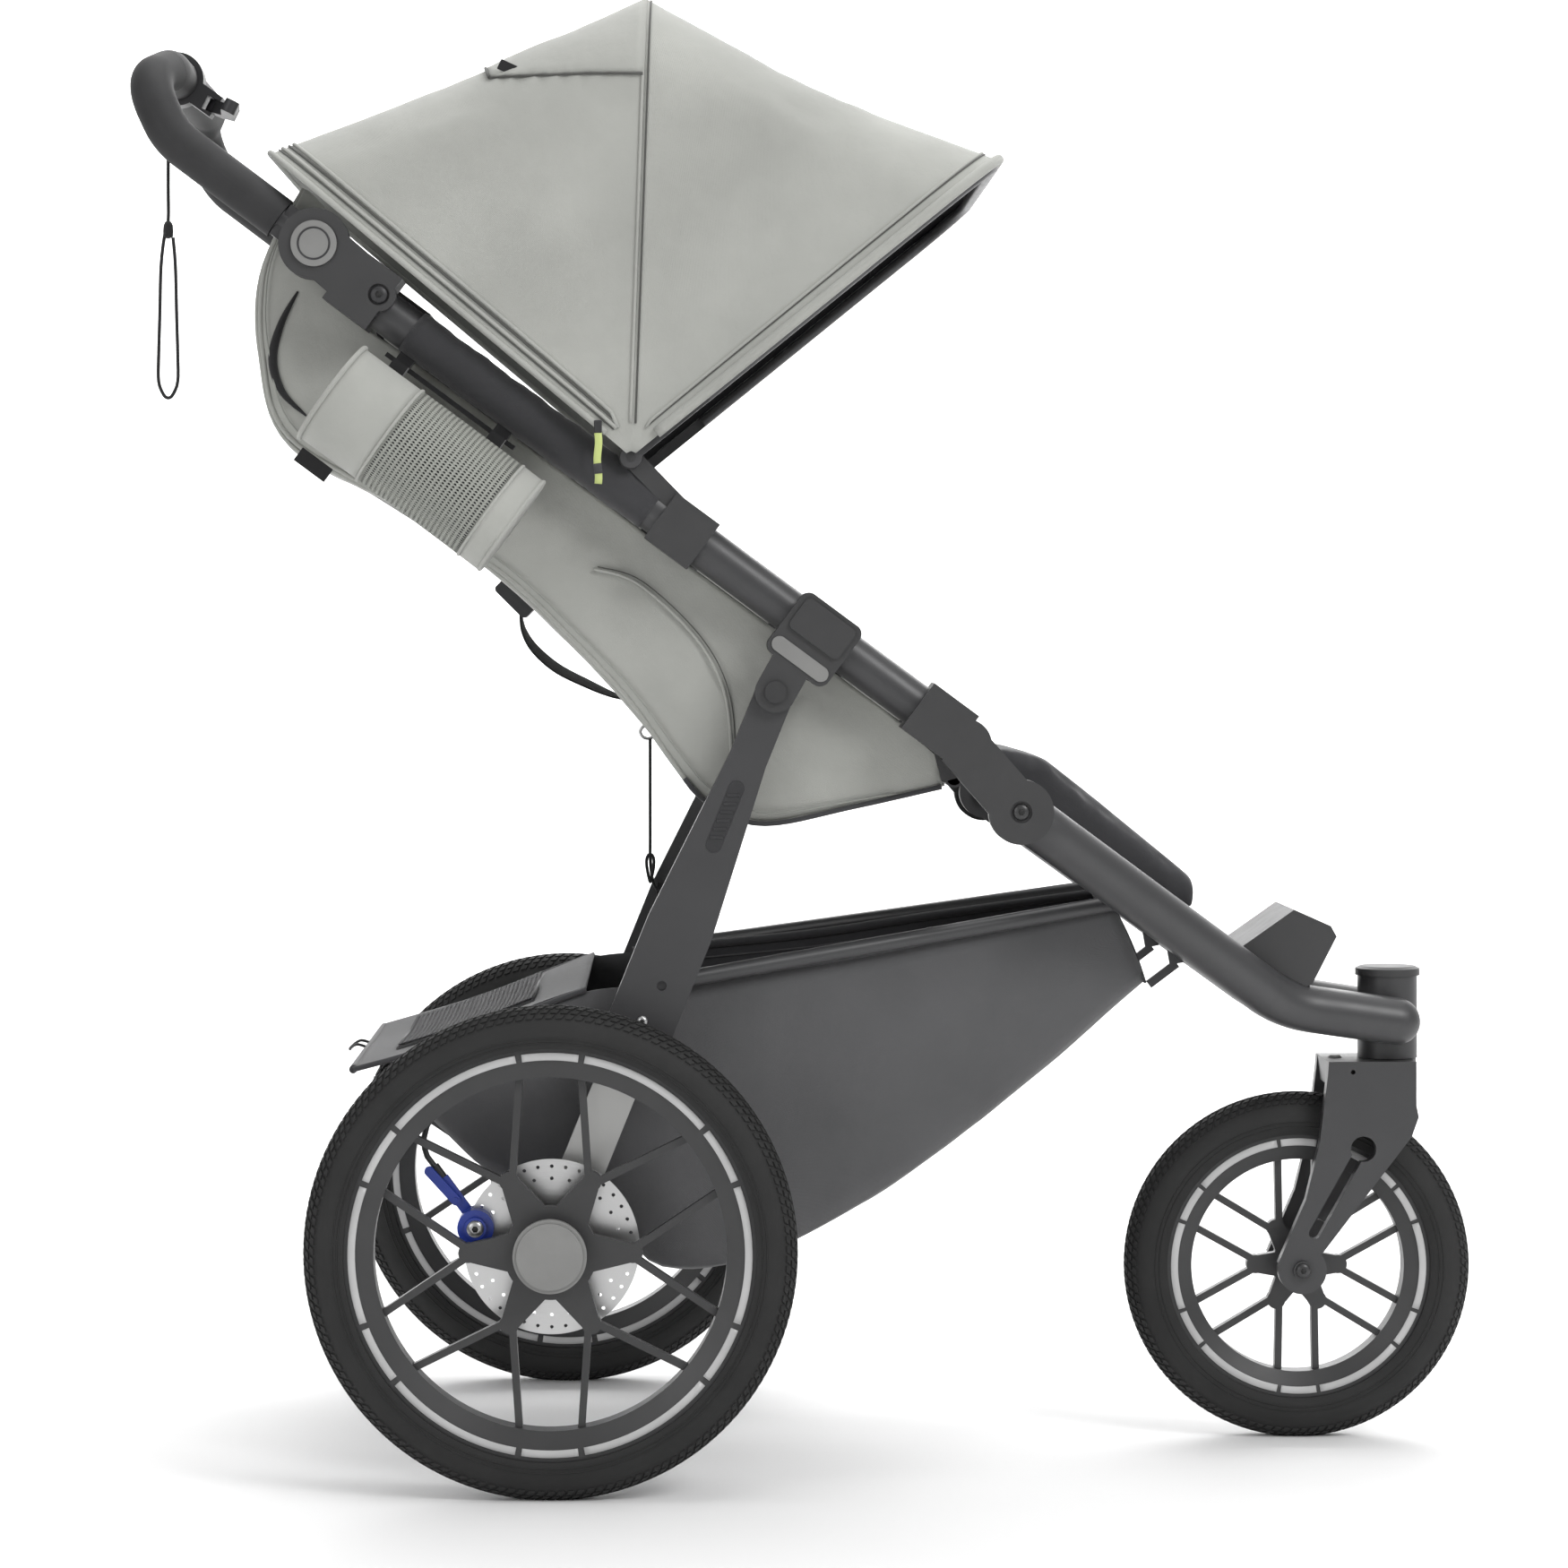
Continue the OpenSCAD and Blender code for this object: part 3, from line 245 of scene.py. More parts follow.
def turned_disc(name, color):
    """Bare steel with rings turned about the rear axle."""
    n = Nodes(name, color, 0.28, 1.0)
    split = n.add("ShaderNodeSeparateXYZ")
    n.link(n.coords(), split.inputs["Vector"])
    combine = n.add("ShaderNodeCombineXYZ")
    n.link(n.calc("ADD", split.outputs["X"], MID / 1000), combine.inputs["X"])
    n.link(n.calc("ADD", split.outputs["Z"], -REAR_AXLE[1] / 1000), combine.inputs["Y"])
    length = n.add("ShaderNodeVectorMath", operation="LENGTH")
    n.link(combine.outputs["Vector"], length.inputs[0])
    tex = n.add("ShaderNodeTexNoise", noise_dimensions="1D")
    tex.inputs["Scale"].default_value = 900
    n.link(length.outputs["Value"], tex.inputs["W"])
    n.bump(tex.outputs["Fac"], 0.25, 0.0003)
    return n.mat


def mesh_cloth(name, color, pitch=0.0026):
    """Open net: threads with small holes between them."""
    n = Nodes(name, color, 0.8)
    height = n.calc("ADD", *n.waves("COSINE", (pitch, pitch / 0.6)))
    clear = n.add("ShaderNodeBsdfTransparent")
    mix = n.add("ShaderNodeMixShader")
    n.link(n.calc("GREATER_THAN", height, 0.75), mix.inputs["Fac"])
    n.link(n.bsdf.outputs["BSDF"], mix.inputs[1])
    n.link(clear.outputs["BSDF"], mix.inputs[2])
    n.link(mix.outputs["Shader"], n.out.inputs["Surface"])
    n.bump(height, 0.6, 0.0008)
    return n.mat


LIGHT = (0.385, 0.39, 0.365)
DARK = (0.040, 0.040, 0.043)
M = {
    "frame_paint": painted("frame_paint", (0.040, 0.040, 0.042)),
    "joint_plastic": plastic("joint_plastic", (0.036, 0.036, 0.037), 0.5),
    "insert_grey": plastic("insert_grey", (0.21, 0.21, 0.205), 0.42),
    "strut_grey": metal("strut_grey", (0.50, 0.50, 0.49), 0.4, (1, 1, 0.1)),
    "bolt_steel": metal("bolt_steel", (0.48, 0.48, 0.48), 0.32),
    "light_fabric": fabric("light_fabric", LIGHT),
    "liner_fabric": fabric("liner_fabric", (0.26, 0.265, 0.25), pitch=0.0016),
    "dark_lining": fabric("dark_lining", (0.028, 0.028, 0.030)),
    "dark_fabric": fabric("dark_fabric", DARK, 0.8, wear=0.16),
    "webbing": fabric("webbing", (0.016, 0.016, 0.017), 0.75, 0.0022),
    "clip_plastic": plastic("clip_plastic", (0.024, 0.024, 0.026), 0.42),
    "tyre_rubber": rubber("tyre_rubber", (0.0115, 0.0115, 0.0115)),
    "rim_plastic": plastic("rim_plastic", (0.036, 0.036, 0.037), 0.4),
    "disc_steel": turned_disc("disc_steel", (0.60, 0.60, 0.60)),
    "caliper_blue": painted("caliper_blue", (0.012, 0.040, 0.33), 0.3),
    "cable_black": rubber("cable_black", (0.018, 0.018, 0.018), 0.45),
    "grip_foam": rubber("grip_foam", (0.019, 0.019, 0.020), 0.7),
    "bow_metal": painted("bow_metal", (0.05, 0.05, 0.052)),
    "piping": fabric("piping", (0.05, 0.05, 0.053), 0.7, 0.0016),
    "thread": fabric("thread", (0.30, 0.31, 0.285), 0.8, 0.0008),
    "thread_dark": fabric("thread_dark", (0.09, 0.09, 0.094), 0.8, 0.0008),
    "band": plastic("band", (0.46, 0.46, 0.46), 0.32),
    "dark_bolt": painted("dark_bolt", (0.030, 0.030, 0.031), 0.35),
    # Inner faces of the basket: the dark fabric painted lighter, as painted light in its shaded inside.
    "basket_inside_painted_light": fabric("basket_inside_painted_light", (0.095, 0.095, 0.098)),
    # seam: dark lines that paint the shade in seam grooves and under folded hems.
    "seam": fabric("seam", (0.085, 0.086, 0.080), 0.8, 0.0008),
    "pull": plastic("pull", (0.50, 0.58, 0.20), 0.45),
    # socket: near black, paints the shade inside the bolts' hexagon sockets.
    "socket": plastic("socket", (0.008, 0.008, 0.008), 0.6),
    "net": mesh_cloth("net", (0.045, 0.045, 0.048)),
    "light_net": mesh_cloth("light_net", (0.33, 0.34, 0.31)),
}
DARK_BOLTS = ("frame_bolts", "front_axle")
for row in frame["record"]["subparts"]:
    node = frame["nodes"][row["node"]]
    node.data.materials.clear()
    slot = "dark_bolt" if row["node"] in DARK_BOLTS else row["material_slot"]
    node.data.materials.append(M[slot])


# ---- building blocks ----
def new_object(name, verts, faces, mats, face_mat=None, uv=None, smooth=True):
    mesh = bpy.data.meshes.new(name)
    mesh.from_pydata([tuple(v) for v in verts], [], [tuple(f) for f in faces])
    for m in mats if isinstance(mats, (list, tuple)) else [mats]:
        mesh.materials.append(m)
    if face_mat is not None:
        mesh.polygons.foreach_set("material_index", np.asarray(face_mat, np.int32))
    if uv is not None:
        layer = mesh.uv_layers.new(name="UVMap")
        index = np.zeros(len(mesh.loops), np.int32)
        mesh.loops.foreach_get("vertex_index", index)
        layer.data.foreach_set("uv", np.asarray(uv, np.float32)[index].ravel())
    mesh.polygons.foreach_set("use_smooth", np.full(len(mesh.polygons), smooth))
    mesh.update()
    obj = bpy.data.objects.new(name, mesh)
    bpy.context.scene.collection.objects.link(obj)
    return obj


def outward(obj):
    """Turns a closed mesh the right way out."""
    bm = bmesh.new()
    bm.from_mesh(obj.data)
    bmesh.ops.recalc_face_normals(bm, faces=bm.faces)
    if bm.calc_volume(signed=True) < 0:
        bmesh.ops.reverse_faces(bm, faces=bm.faces)
    bm.to_mesh(obj.data)
    bm.free()
    return obj


def unit(v):
    return v / np.linalg.norm(v, axis=-1, keepdims=True)


def run_along(line):
    """Distance run from the first point of a line to each of its points."""
    p = np.array([tuple(q) for q in line], float)
    return np.concatenate([[0], np.cumsum(np.linalg.norm(np.diff(p, axis=0), axis=1))])


def shell(name, grid, thickness, mats, wrap=False, inner=0):
    """Closed thin shell from a grid of points (rows, columns, 3), in metres. Its outer face is the
    grid, and its inner face lies thickness towards the grid's own negative normals."""
    g = np.asarray(grid, float)
    rows, cols = g.shape[:2]
    du = (np.roll(g, -1, 1) - np.roll(g, 1, 1)) / 2 if wrap else np.gradient(g, axis=1)
    normal = np.cross(du, np.gradient(g, axis=0))
    normal /= np.maximum(np.linalg.norm(normal, axis=2, keepdims=True), 1e-12)
    verts = np.concatenate([g.reshape(-1, 3), (g - normal * thickness).reshape(-1, 3)])
    n = rows * cols
    spans = cols if wrap else cols - 1
    faces, face_mat = [], []
    for i in range(rows - 1):
        for j in range(spans):
            a, b = i * cols + j, i * cols + (j + 1) % cols
            c, d = b + cols, a + cols
            faces += [(a, b, c, d), (a + n, d + n, c + n, b + n)]
            face_mat += [0, inner]
    for j in range(spans):
        a, b = j, (j + 1) % cols
        faces.append((a, a + n, b + n, b))
        a, b = a + n - cols, b + n - cols
        faces.append((a, b, b + n, a + n))
    if not wrap:
        for i in range(rows - 1):
            a, b = i * cols, (i + 1) * cols
            faces.append((a, b, b + n, a + n))
            a, b = a + cols - 1, b + cols - 1
            faces.append((a, a + n, b + n, b))
    face_mat += [0] * (len(faces) - len(face_mat))
    across = np.stack([run_along(row) for row in g])
    down = np.stack([run_along(column) for column in g.swapaxes(0, 1)], axis=1)
    uv = np.stack([across, down], axis=2).reshape(-1, 2)
    return new_object(name, verts, faces, mats, face_mat, np.concatenate([uv, uv]))


def rings(name, verts, uv, sides, mat, closed=False):
    """Skin over equal rings of points, capped at both ends unless the rings meet in a loop."""
    total = len(verts)
    faces = []
    for start in range(0, total if closed else total - sides, sides):
        for k in range(sides):
            a, b = start + k, start + (k + 1) % sides
            faces.append((a, b, (b + sides) % total, (a + sides) % total))
    if not closed:
        faces.append(tuple(range(sides - 1, -1, -1)))
        faces.append(tuple(range(total - sides, total)))
    return outward(new_object(name, verts, faces, mat, uv=uv))


def tube(name, points, radius, mat, sides=10, closed=False):
    """Swept round tube along points in metres, with closed ends."""
    p = np.array([tuple(q) for q in points], float)
    tangent = unit(np.roll(p, -1, 0) - np.roll(p, 1, 0) if closed else np.gradient(p, axis=0))
    side = np.cross(tangent[0], (0, 0, 1) if abs(tangent[0][2]) < 0.9 else (1, 0, 0))
    radii = np.broadcast_to(np.asarray(radius, float), (len(p),))
    verts, uv = [], []
    for q, along, r, run in zip(p, tangent, radii, run_along(p)):
        side = unit(side - along * side.dot(along))
        other = np.cross(along, side)
        for k in range(sides):
            a = 2 * math.pi * k / sides
            verts.append(q + r * (math.cos(a) * side + math.sin(a) * other))
            uv.append((a * r, run))
    return rings(name, verts, uv, sides, mat, closed)


def ribbon(name, points, across, width, thick, mat):
    """Flat webbing along points, width wide along the unit vector(s) across."""
    p = np.array([tuple(q) for q in points], float)
    tangent = unit(np.gradient(p, axis=0))
    wide = np.array([tuple(a) for a in across] if np.ndim(across[0]) else across, float)
    wide = np.broadcast_to(wide, p.shape)
    wide = unit(wide - tangent * np.sum(wide * tangent, axis=1, keepdims=True))
    half = [(-1, -0.6), (-0.94, -1), (0.94, -1), (1, -0.6)]
    corners = half + [(-a, -b) for a, b in half]
    verts, uv = [], []
    for q, w, up, run in zip(p, wide, np.cross(tangent, wide), run_along(p)):
        for a, b in corners:
            verts.append(q + w * a * width / 2 + up * b * thick / 2)
            uv.append((a * width / 2, run))
    return rings(name, verts, uv, len(corners), mat)


def smooth_path(points, steps=8, closed=False):
    """Catmull-Rom curve through points."""
    p = [np.array(tuple(q), float) for q in points]
    out = []
    last = len(p) if closed else len(p) - 1
    for i in range(last):
        if closed:
            a, b, c, d = (p[(i + k) % len(p)] for k in (-1, 0, 1, 2))
        else:
            a, b, c, d = p[max(i - 1, 0)], p[i], p[i + 1], p[min(i + 2, len(p) - 1)]
        for s in range(steps):
            t = s / steps
            square = (2 * a - 5 * b + 4 * c - d) * t * t
            out.append(0.5 * (2 * b + (c - a) * t + square + (3 * b - a - 3 * c + d) * t**3))
    if not closed:
        out.append(p[-1])
    return out


def resample(points, count):
    """Evenly spaced points along a line."""
    p = np.array([tuple(q) for q in points], float)
    run = run_along(p)
    want = np.linspace(0, run[-1], count)
    return np.stack([np.interp(want, run, p[:, k]) for k in range(p.shape[1])], axis=1)


def turn_to(axis):
    """Turn that stands +Z along axis."""
    return Vector((0, 0, 1)).rotation_difference(Vector(axis)).to_matrix()


def lathe(name, origin, axis, profile, mat, sides=48):
    """Closed turned piece: profile is (radius, along axis) in mm, from one axis end to the other."""
    turn = turn_to(axis)
    verts, uv = [], []
    for r, z in profile:
        for k in range(sides):
            a = 2 * math.pi * k / sides
            v = turn @ Vector((r * math.cos(a), r * math.sin(a), z)) / 1000
            verts.append(Vector(origin) + v)
            uv.append((a * r / 1000, z / 1000))
    return rings(name, verts, uv, sides, mat)


BLOCK_FACES = (
    (3, 2, 1, 0), (4, 5, 6, 7), (0, 1, 5, 4), (1, 2, 6, 5), (2, 3, 7, 6), (3, 0, 4, 7),
)


def block(name, centre, size, mat, turn=0.0, bevel=0.0015, axis="Y"):
    """Rounded box, centre and size in metres, turned about one axis by degrees."""
    sx, sy, sz = (s / 2 for s in size)
    verts = [(x, y, z) for x in (-sx, sx) for y in (-sy, sy) for z in (-sz, sz)]
    faces = [(0, 1, 3, 2), (4, 6, 7, 5), (0, 4, 5, 1), (2, 3, 7, 6), (0, 2, 6, 4), (1, 5, 7, 3)]
    obj = new_object(name, verts, faces, mat, smooth=False)
    move = Matrix.Translation(Vector(centre)) @ Matrix.Rotation(math.radians(turn), 4, axis)
    obj.data.transform(move)
    if bevel:
        mod = obj.modifiers.new("bevel", "BEVEL")
        mod.width = bevel
        mod.segments = 3
        apply_all(obj)
    return outward(obj)


def apply_all(obj):
    """Bakes the modifiers into the mesh."""
    dg = bpy.context.evaluated_depsgraph_get()
    dg.update()
    data = bpy.data.meshes.new_from_object(obj.evaluated_get(dg))
    obj.modifiers.clear()
    old = obj.data
    obj.data = data
    data.name = old.name
    bpy.data.meshes.remove(old)
    return obj


def join(name, objs):
    """One object from several, with their materials kept."""
    verts, faces, mats, face_mat, uvs = [], [], [], [], []
    for o in objs:
        base = len(verts)
        verts += [tuple(v.co) for v in o.data.vertices]
        layer = o.data.uv_layers.active
        flat = np.zeros((len(o.data.vertices), 2))
        if layer:
            for loop in o.data.loops:
                flat[loop.vertex_index] = layer.data[loop.index].uv
        uvs.append(flat)
        slots = []
        for m in o.data.materials:
            if m not in mats:
                mats.append(m)
            slots.append(mats.index(m))
        for poly in o.data.polygons:
            faces.append(tuple(base + v for v in poly.vertices))
            face_mat.append((slots[poly.material_index], poly.use_smooth))
    obj = new_object(name, verts, faces, mats, [f[0] for f in face_mat], np.concatenate(uvs))
    obj.data.polygons.foreach_set("use_smooth", np.array([f[1] for f in face_mat]))
    for o in objs:
        bpy.data.objects.remove(o)
    return obj


def simulate(obj, pressure, cap, voxel, frames=20):
    """Puffs a closed cushion with cloth, and keeps each point within cap metres of its start."""
    mod = obj.modifiers.new("remesh", "REMESH")
    mod.mode = "VOXEL"
    mod.voxel_size = voxel
    apply_all(obj)
    start = np.array([v.co for v in obj.data.vertices])
    cloth = obj.modifiers.new("cloth", "CLOTH")
    s = cloth.settings
    s.quality = 4
    s.mass = 0.25
    s.tension_stiffness = 12
    s.compression_stiffness = 4
    s.shear_stiffness = 5
    s.bending_stiffness = 0.4
    s.use_pressure = True
    s.uniform_pressure_force = pressure
    s.effector_weights.gravity = 0
    cloth.collision_settings.use_collision = False
    cloth.point_cache.frame_start = 1
    cloth.point_cache.frame_end = frames
    scene = bpy.context.scene
    for f in range(1, frames + 1):
        scene.frame_set(f)
    dg = bpy.context.evaluated_depsgraph_get()
    baked = obj.evaluated_get(dg).data
    end = np.array([v.co for v in baked.vertices])
    obj.modifiers.clear()
    scene.frame_set(1)
    step = end - start
    size = np.linalg.norm(step, axis=1, keepdims=True)
    end = start + step * np.minimum(1, cap / np.maximum(size, 1e-9))
    obj.data.vertices.foreach_set("co", end.ravel())
    sub = obj.modifiers.new("smooth", "SUBSURF")
    sub.levels = sub.render_levels = 1
    apply_all(obj)
    obj.data.polygons.foreach_set("use_smooth", np.ones(len(obj.data.polygons), bool))
    return outward(obj)


def slab(name, outline, half_width, mat):
    """Closed slab across the middle, with a side view outline of (x, z) millimetres."""
    n = len(outline)
    verts = [mm(p[0], y, p[1]) for y in (-half_width, half_width) for p in outline]
    faces = [tuple(range(n)), tuple(range(2 * n - 1, n - 1, -1))]
    faces += [(i, i + n, (i + 1) % n + n, (i + 1) % n) for i in range(n)]
    return outward(new_object(name, verts, faces, mat, smooth=False))


def by_tube(points):
    return [on_tube(*p) for p in points]


def fit(obj, body, stands_for=None):
    """Puts a finished piece on its body, in place of the CAD node that it stands for."""
    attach(obj, body)
    if stands_for:
        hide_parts(stands_for)


# ---- canopy ----
FRONT_A, MID_A, REAR_A = (math.radians(a) for a in (39, 88, 140))
# A cloth's two end angles, its sag in millimetres and the seed of its folds.
FRONT_CLOTH = (FRONT_A, MID_A, 9.0, 11.0)
REAR_CLOTH = (MID_A, REAR_A, 2.5, 3.0)
HALF = 248.6
REACH = 398.2
CORNER = 72.0
MID_SHARE = 386.2 / 398.2


def canopy_section(count):
    """Points (reach, across) from the near lower edge over the top to the far one."""
    half = [(5, -HALF), (REACH - CORNER, -HALF)]
    half += [
        (REACH - CORNER + CORNER * math.sin(a), -HALF + CORNER - CORNER * math.cos(a))
        for a in np.linspace(0.08, math.pi / 2, 12)
    ]
    half += [(REACH, y) for y in np.linspace(-HALF + CORNER + 10, HALF - CORNER - 10, 8)]
    side = half[:14]
    return resample(half + [(r, -y) for r, y in reversed(side)], count)


def canopy_point(r, y, a, a0, a1, sag, seed):
    """One point of the skin, stretched straight between the bows at a0 and a1."""
    t = (a - a0) / (a1 - a0)
    k0, k1 = (MID_SHARE if e == MID_A else 1.0 for e in (a0, a1))
    pull = k0 * k1 * math.sin(a1 - a0) / (k0 * math.sin(a - a0) + k1 * math.sin(a1 - a))
    dip = 4 * t * (1 - t)
    rr = r * pull - sag * dip * (r / REACH) ** 2
    top = max(0.0, (r - (REACH - CORNER)) / CORNER)
    yy = y * (1 - 0.014 * dip * (1 - top) * min(1.0, r / 150))
    p = Vector((PIVOT[0] + rr * math.cos(a), yy, PIVOT[1] + rr * math.sin(a)))
    w = noise.fractal(Vector((p.x * 0.9 + seed, p.y * 0.5, p.z * 0.9)) * 0.012, 0.9, 2.1, 3)
    long_fold = math.sin(9 * t + 0.02 * r + seed) * 0.35
    lift = (w * 3.2 + long_fold) * dip
    yy += math.copysign(5.5, y) * max(0.0, min(1.0, (85 - r) / 40)) * (1 - top)
    if top > 0.5:
        rr += lift
    else:
        yy += lift * (1 if y < 0 else -1) * min(1, r / 120)
    return (PIVOT[0] + rr * math.cos(a), yy, PIVOT[1] + rr * math.sin(a))


def canopy_skin(name, cloth, lining):
    angles = np.linspace(*cloth[:2], 56)
    grid = [[mm(*canopy_point(r, y, a, *cloth)) for r, y in SECTION] for a in angles]
    return shell(name, np.array(grid), 0.0016, [M["light_fabric"], lining], inner=1)


SECTION = canopy_section(150)
skin_rear = canopy_skin("canopy_rear_fabric", REAR_CLOTH, M["liner_fabric"])
skin_front = canopy_skin("canopy_front_fabric", FRONT_CLOTH, M["dark_lining"])


def seam_line(cloth, edge, distance, lift=0.6):
    """Line on the skin at a steady distance from one edge, in millimetres."""
    a0, a1 = cloth[:2]
    points = []
    for r, y in SECTION:
        turn = min(distance / max(r, 20), 0.5 * (a1 - a0))
        a = edge + math.copysign(turn, a1 + a0 - 2 * edge)
        top = max(0.0, (r - (REACH - CORNER)) / CORNER)
        out = math.copysign(lift, y) * (1 - top)
        points.append(mm(*canopy_point(r + lift * min(1, top * 2), y + out, a, *cloth)))
    return points[3:-3]


def canopy_trim():
    """Piping, zips and hems of the canopy: edge, distance from it, radius, finish and sides."""
    pieces = []
    for name, cloth, lines in (
        ("canopy_front_trim", FRONT_CLOTH, (
            (FRONT_A, 2, 0.0045, "light_fabric", 12),
            # The seam lines are dark tubes that paint the shade under the folded hem.
            (FRONT_A, 13, 0.0008, "seam", 6),
            (FRONT_A, 15, 0.0014, "light_fabric", 6),
            (MID_A, 3, 0.0009, "seam", 6),
        )),
        ("canopy_rear_trim", REAR_CLOTH, (
            (MID_A, 1.5, 0.0013, "light_fabric", 8),
            (REAR_A, 2, 0.0028, "light_fabric", 8),
            # The seam lines between the light piping paint the shade in the grooves between them.
            (REAR_A, 9, 0.0007, "seam", 8),
            (REAR_A, 12, 0.0017, "light_fabric", 8),
            (REAR_A, 17, 0.0012, "seam", 8),
            (REAR_A, 21, 0.0017, "light_fabric", 8),
        )),
    ):
        parts = [
            tube("t", seam_line(cloth, edge, distance), radius, M[finish], sides)
            for edge, distance, radius, finish, sides in lines
        ]
        pieces.append(join(name, parts))
    return pieces


trim_front, trim_rear = canopy_trim()


def canopy_flap():
    """Flap that overlaps the vent on the roof, with a level hem on both sides."""
    hem_height, last = 316.0, math.radians(110.5)
    rows = []
    for a in np.linspace(MID_A + 0.004, last, 22):
        spread = MID_SHARE * math.sin(a - MID_A) + math.sin(REAR_A - a)
        pull = MID_SHARE * math.sin(REAR_A - MID_A) / spread
        start = min(hem_height / (math.sin(a) * pull), REACH - 3)
        half = [(r, y) for r, y in SECTION[: len(SECTION) // 2] if r > start]
        if not half:
            half = [(REACH - 2, -HALF + CORNER - 14)]
        half = [(start, half[0][1])] + half
        row = []
        for r, y in resample(half + [(r, -y) for r, y in reversed(half)], 90):
            lift = 2.0 * min(1, max(0, r - REACH + CORNER) / 20)
            row.append(mm(*canopy_point(r + lift, y * 1.009, a, *REAR_CLOTH)))
        rows.append(row)
    skin = shell("t", np.array(rows), 0.0014, [M["light_fabric"], M["liner_fabric"]], inner=1)
    # The seam tubes along the flap's hem and sides paint the shadow under its edges.
    parts = [skin, tube("t", rows[-1], 0.0014, M["seam"], 8)]
    for column in (0, -1):
        parts.append(tube("t", [row[column] for row in rows], 0.0012, M["seam"], 8))
    tag = block("t", rows[-4][2], (0.020, 0.0016, 0.009), M["webbing"], 25, 0.0006)
    return join("canopy_flap_fabric", parts + [tag])


def hang_canopy(pieces):
    """Bakes each piece's transform into its mesh."""
    for obj in pieces:
        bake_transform(obj)


hang_canopy((skin_rear, trim_rear, canopy_flap()))
hang_canopy((skin_front, trim_front))
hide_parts("canopy_rear")
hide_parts("canopy_front")

# ---- seat: outlines are distances along the main tube and above it ----
WING_TOP = [
    (-560, 44), (-532, 36), (-500, 6), (-472, -18), (-420, -19),
    (-300, -19), (-150, -19), (0, -19), (90, -19), (148, -25),
]
WING_LOW = [
    (-566, 43), (-561, 0), (-548, -40), (-512, -88), (-455, -131), (-350, -122), (-243, -117),
    (-160, -127), (-95, -139), (-30, -160), (10, -169), (58, -156), (110, -100), (160, -42),
]


def seat_wing(side):
    rows, cols = 34, 90
    top = resample(smooth_path(by_tube(WING_TOP)), cols)
    low = resample(smooth_path(by_tube(WING_LOW)), cols)
    grid = np.zeros((rows, cols, 3))
    for i in range(rows):
        v = i / (rows - 1)
        for j in range(cols):
            p = top[j] * (1 - v) + low[j] * v
            u = j / (cols - 1)
            belly = math.sin(math.pi * v) ** 0.7 * math.sin(math.pi * min(1, u * 1.02)) ** 0.5
            place = Vector((p[0] * 0.011, p[1] * 0.011, 4.2 * side))
            ripple = noise.fractal(place, 0.9, 2.1, 3) * 5.0
            drift = 1.3 * noise.noise(Vector((p[0], p[1], 7)) * 0.006)
            fold = math.sin(0.045 * (p[0] * 0.6 + p[1] * 0.8) + drift) * 1.3
            y = 193.5 + 4.0 * belly + (ripple + fold) * belly - 3.5 * max(0, v - 0.9) / 0.1
            grid[i, j] = mm(p[0], side * y, p[1])
    if side < 0:
        grid = grid[:, ::-1]
    fabrics = [M["light_fabric"], M["liner_fabric"]]
    return shell("t", grid, 0.002, fabrics, inner=1), top, low


def seat_fabric():
    parts = []
    for side in (-1, 1):
        wing, top, low = seat_wing(side)
        edge = [at(p, side * 190.5) for p in low]
        dark = [at(p, side * 195.5) for p in low[66:]]
        inset = [at(q, side * 198.6) for q in (low * 0.93 + top * 0.07)[4:86]]
        parts += [
            wing,
            tube("t", edge, 0.0022, M["light_fabric"], 8),
            tube("t", inset, 0.0008, M["thread"], 6),
            tube("t", dark, 0.0022, M["piping"], 8),
        ]
    for side in (-1, 1):
        curve = smooth_path([(33, 757), (70, 745), (118, 700), (142, 655), (148, 600), (145, 540)])
        panel = [at(p, side * 200.2) for p in curve]
        parts.append(tube("t", panel, 0.0013, M["light_fabric"], 8))
        # Thin seam tube beside the panel piping: a painted shadow.
        shadow = [q + Vector((0.0035, 0, 0.002)) for q in panel]
        parts.append(tube("t", shadow, 0.0006, M["seam"], 6))
        # Dark crescent in each wing's vent opening: painted shade inside the opening.
        vent_gap_shade = smooth_path([(-214, 989), (-228, 962), (-235, 932), (-227, 905), (-207, 885)])
        thick = [0.0008 + 0.0032 * math.sin(math.pi * i / (len(vent_gap_shade) - 1)) for i in range(len(vent_gap_shade))]
        parts.append(tube("t", [at(p, side * 196.5) for p in vent_gap_shade], thick, M["webbing"], 10))
    under = by_tube([(2, -170), (30, -165), (58, -157), (92, -122), (128, -79), (162, -39.8)])
    base = resample(smooth_path(under), 26)
    grid = np.array([[at(p, y) for y in np.linspace(-192, 192, 40)] for p in base])
    parts.append(shell("t", grid, 0.0026, [M["light_fabric"], M["liner_fabric"]], inner=1))
    for side in (-1, 1):
        across = sorted((side * 192, side * 213))
        for start, end in ((-436, -170), (-112, -38), (38, 98)):
            line = [on_tube(a, -18.6) for a in np.linspace(start, end, 12)]
            strip = np.array([[at(p, y) for y in np.linspace(*across, 5)] for p in line])
            parts.append(shell("t", strip, 0.002, M["light_fabric"]))
    return outward(join("seat_fabric", parts))


fit(seat_fabric(), "frame", "seat_shell")

BACK_REAR = [
    (-5, -164), (-95, -140), (-170, -126), (-243, -118.5), (-350, -122),
    (-452, -134), (-512, -90), (-550, -38), (-566, 28),
]
BACK_PAD = [
    (-8, -158), (-95, -135), (-243, -113.5), (-452, -129), (-508, -86), (-545, -34), (-560, 20),
    (-549, 24), (-533, -28), (-495, -74), (-444, -110), (-243, -95), (-88, -116), (-2, -142),
]
CUSHION = [(8, -163), (57, -152), (150, -51), (140, -38), (53, -128), (8, -143)]
CALF = [
    (171, -22), (183, 11), (222, 25), (280, 23.5), (396, 17.5), (407, 2), (390, -7), (240, -5),
]


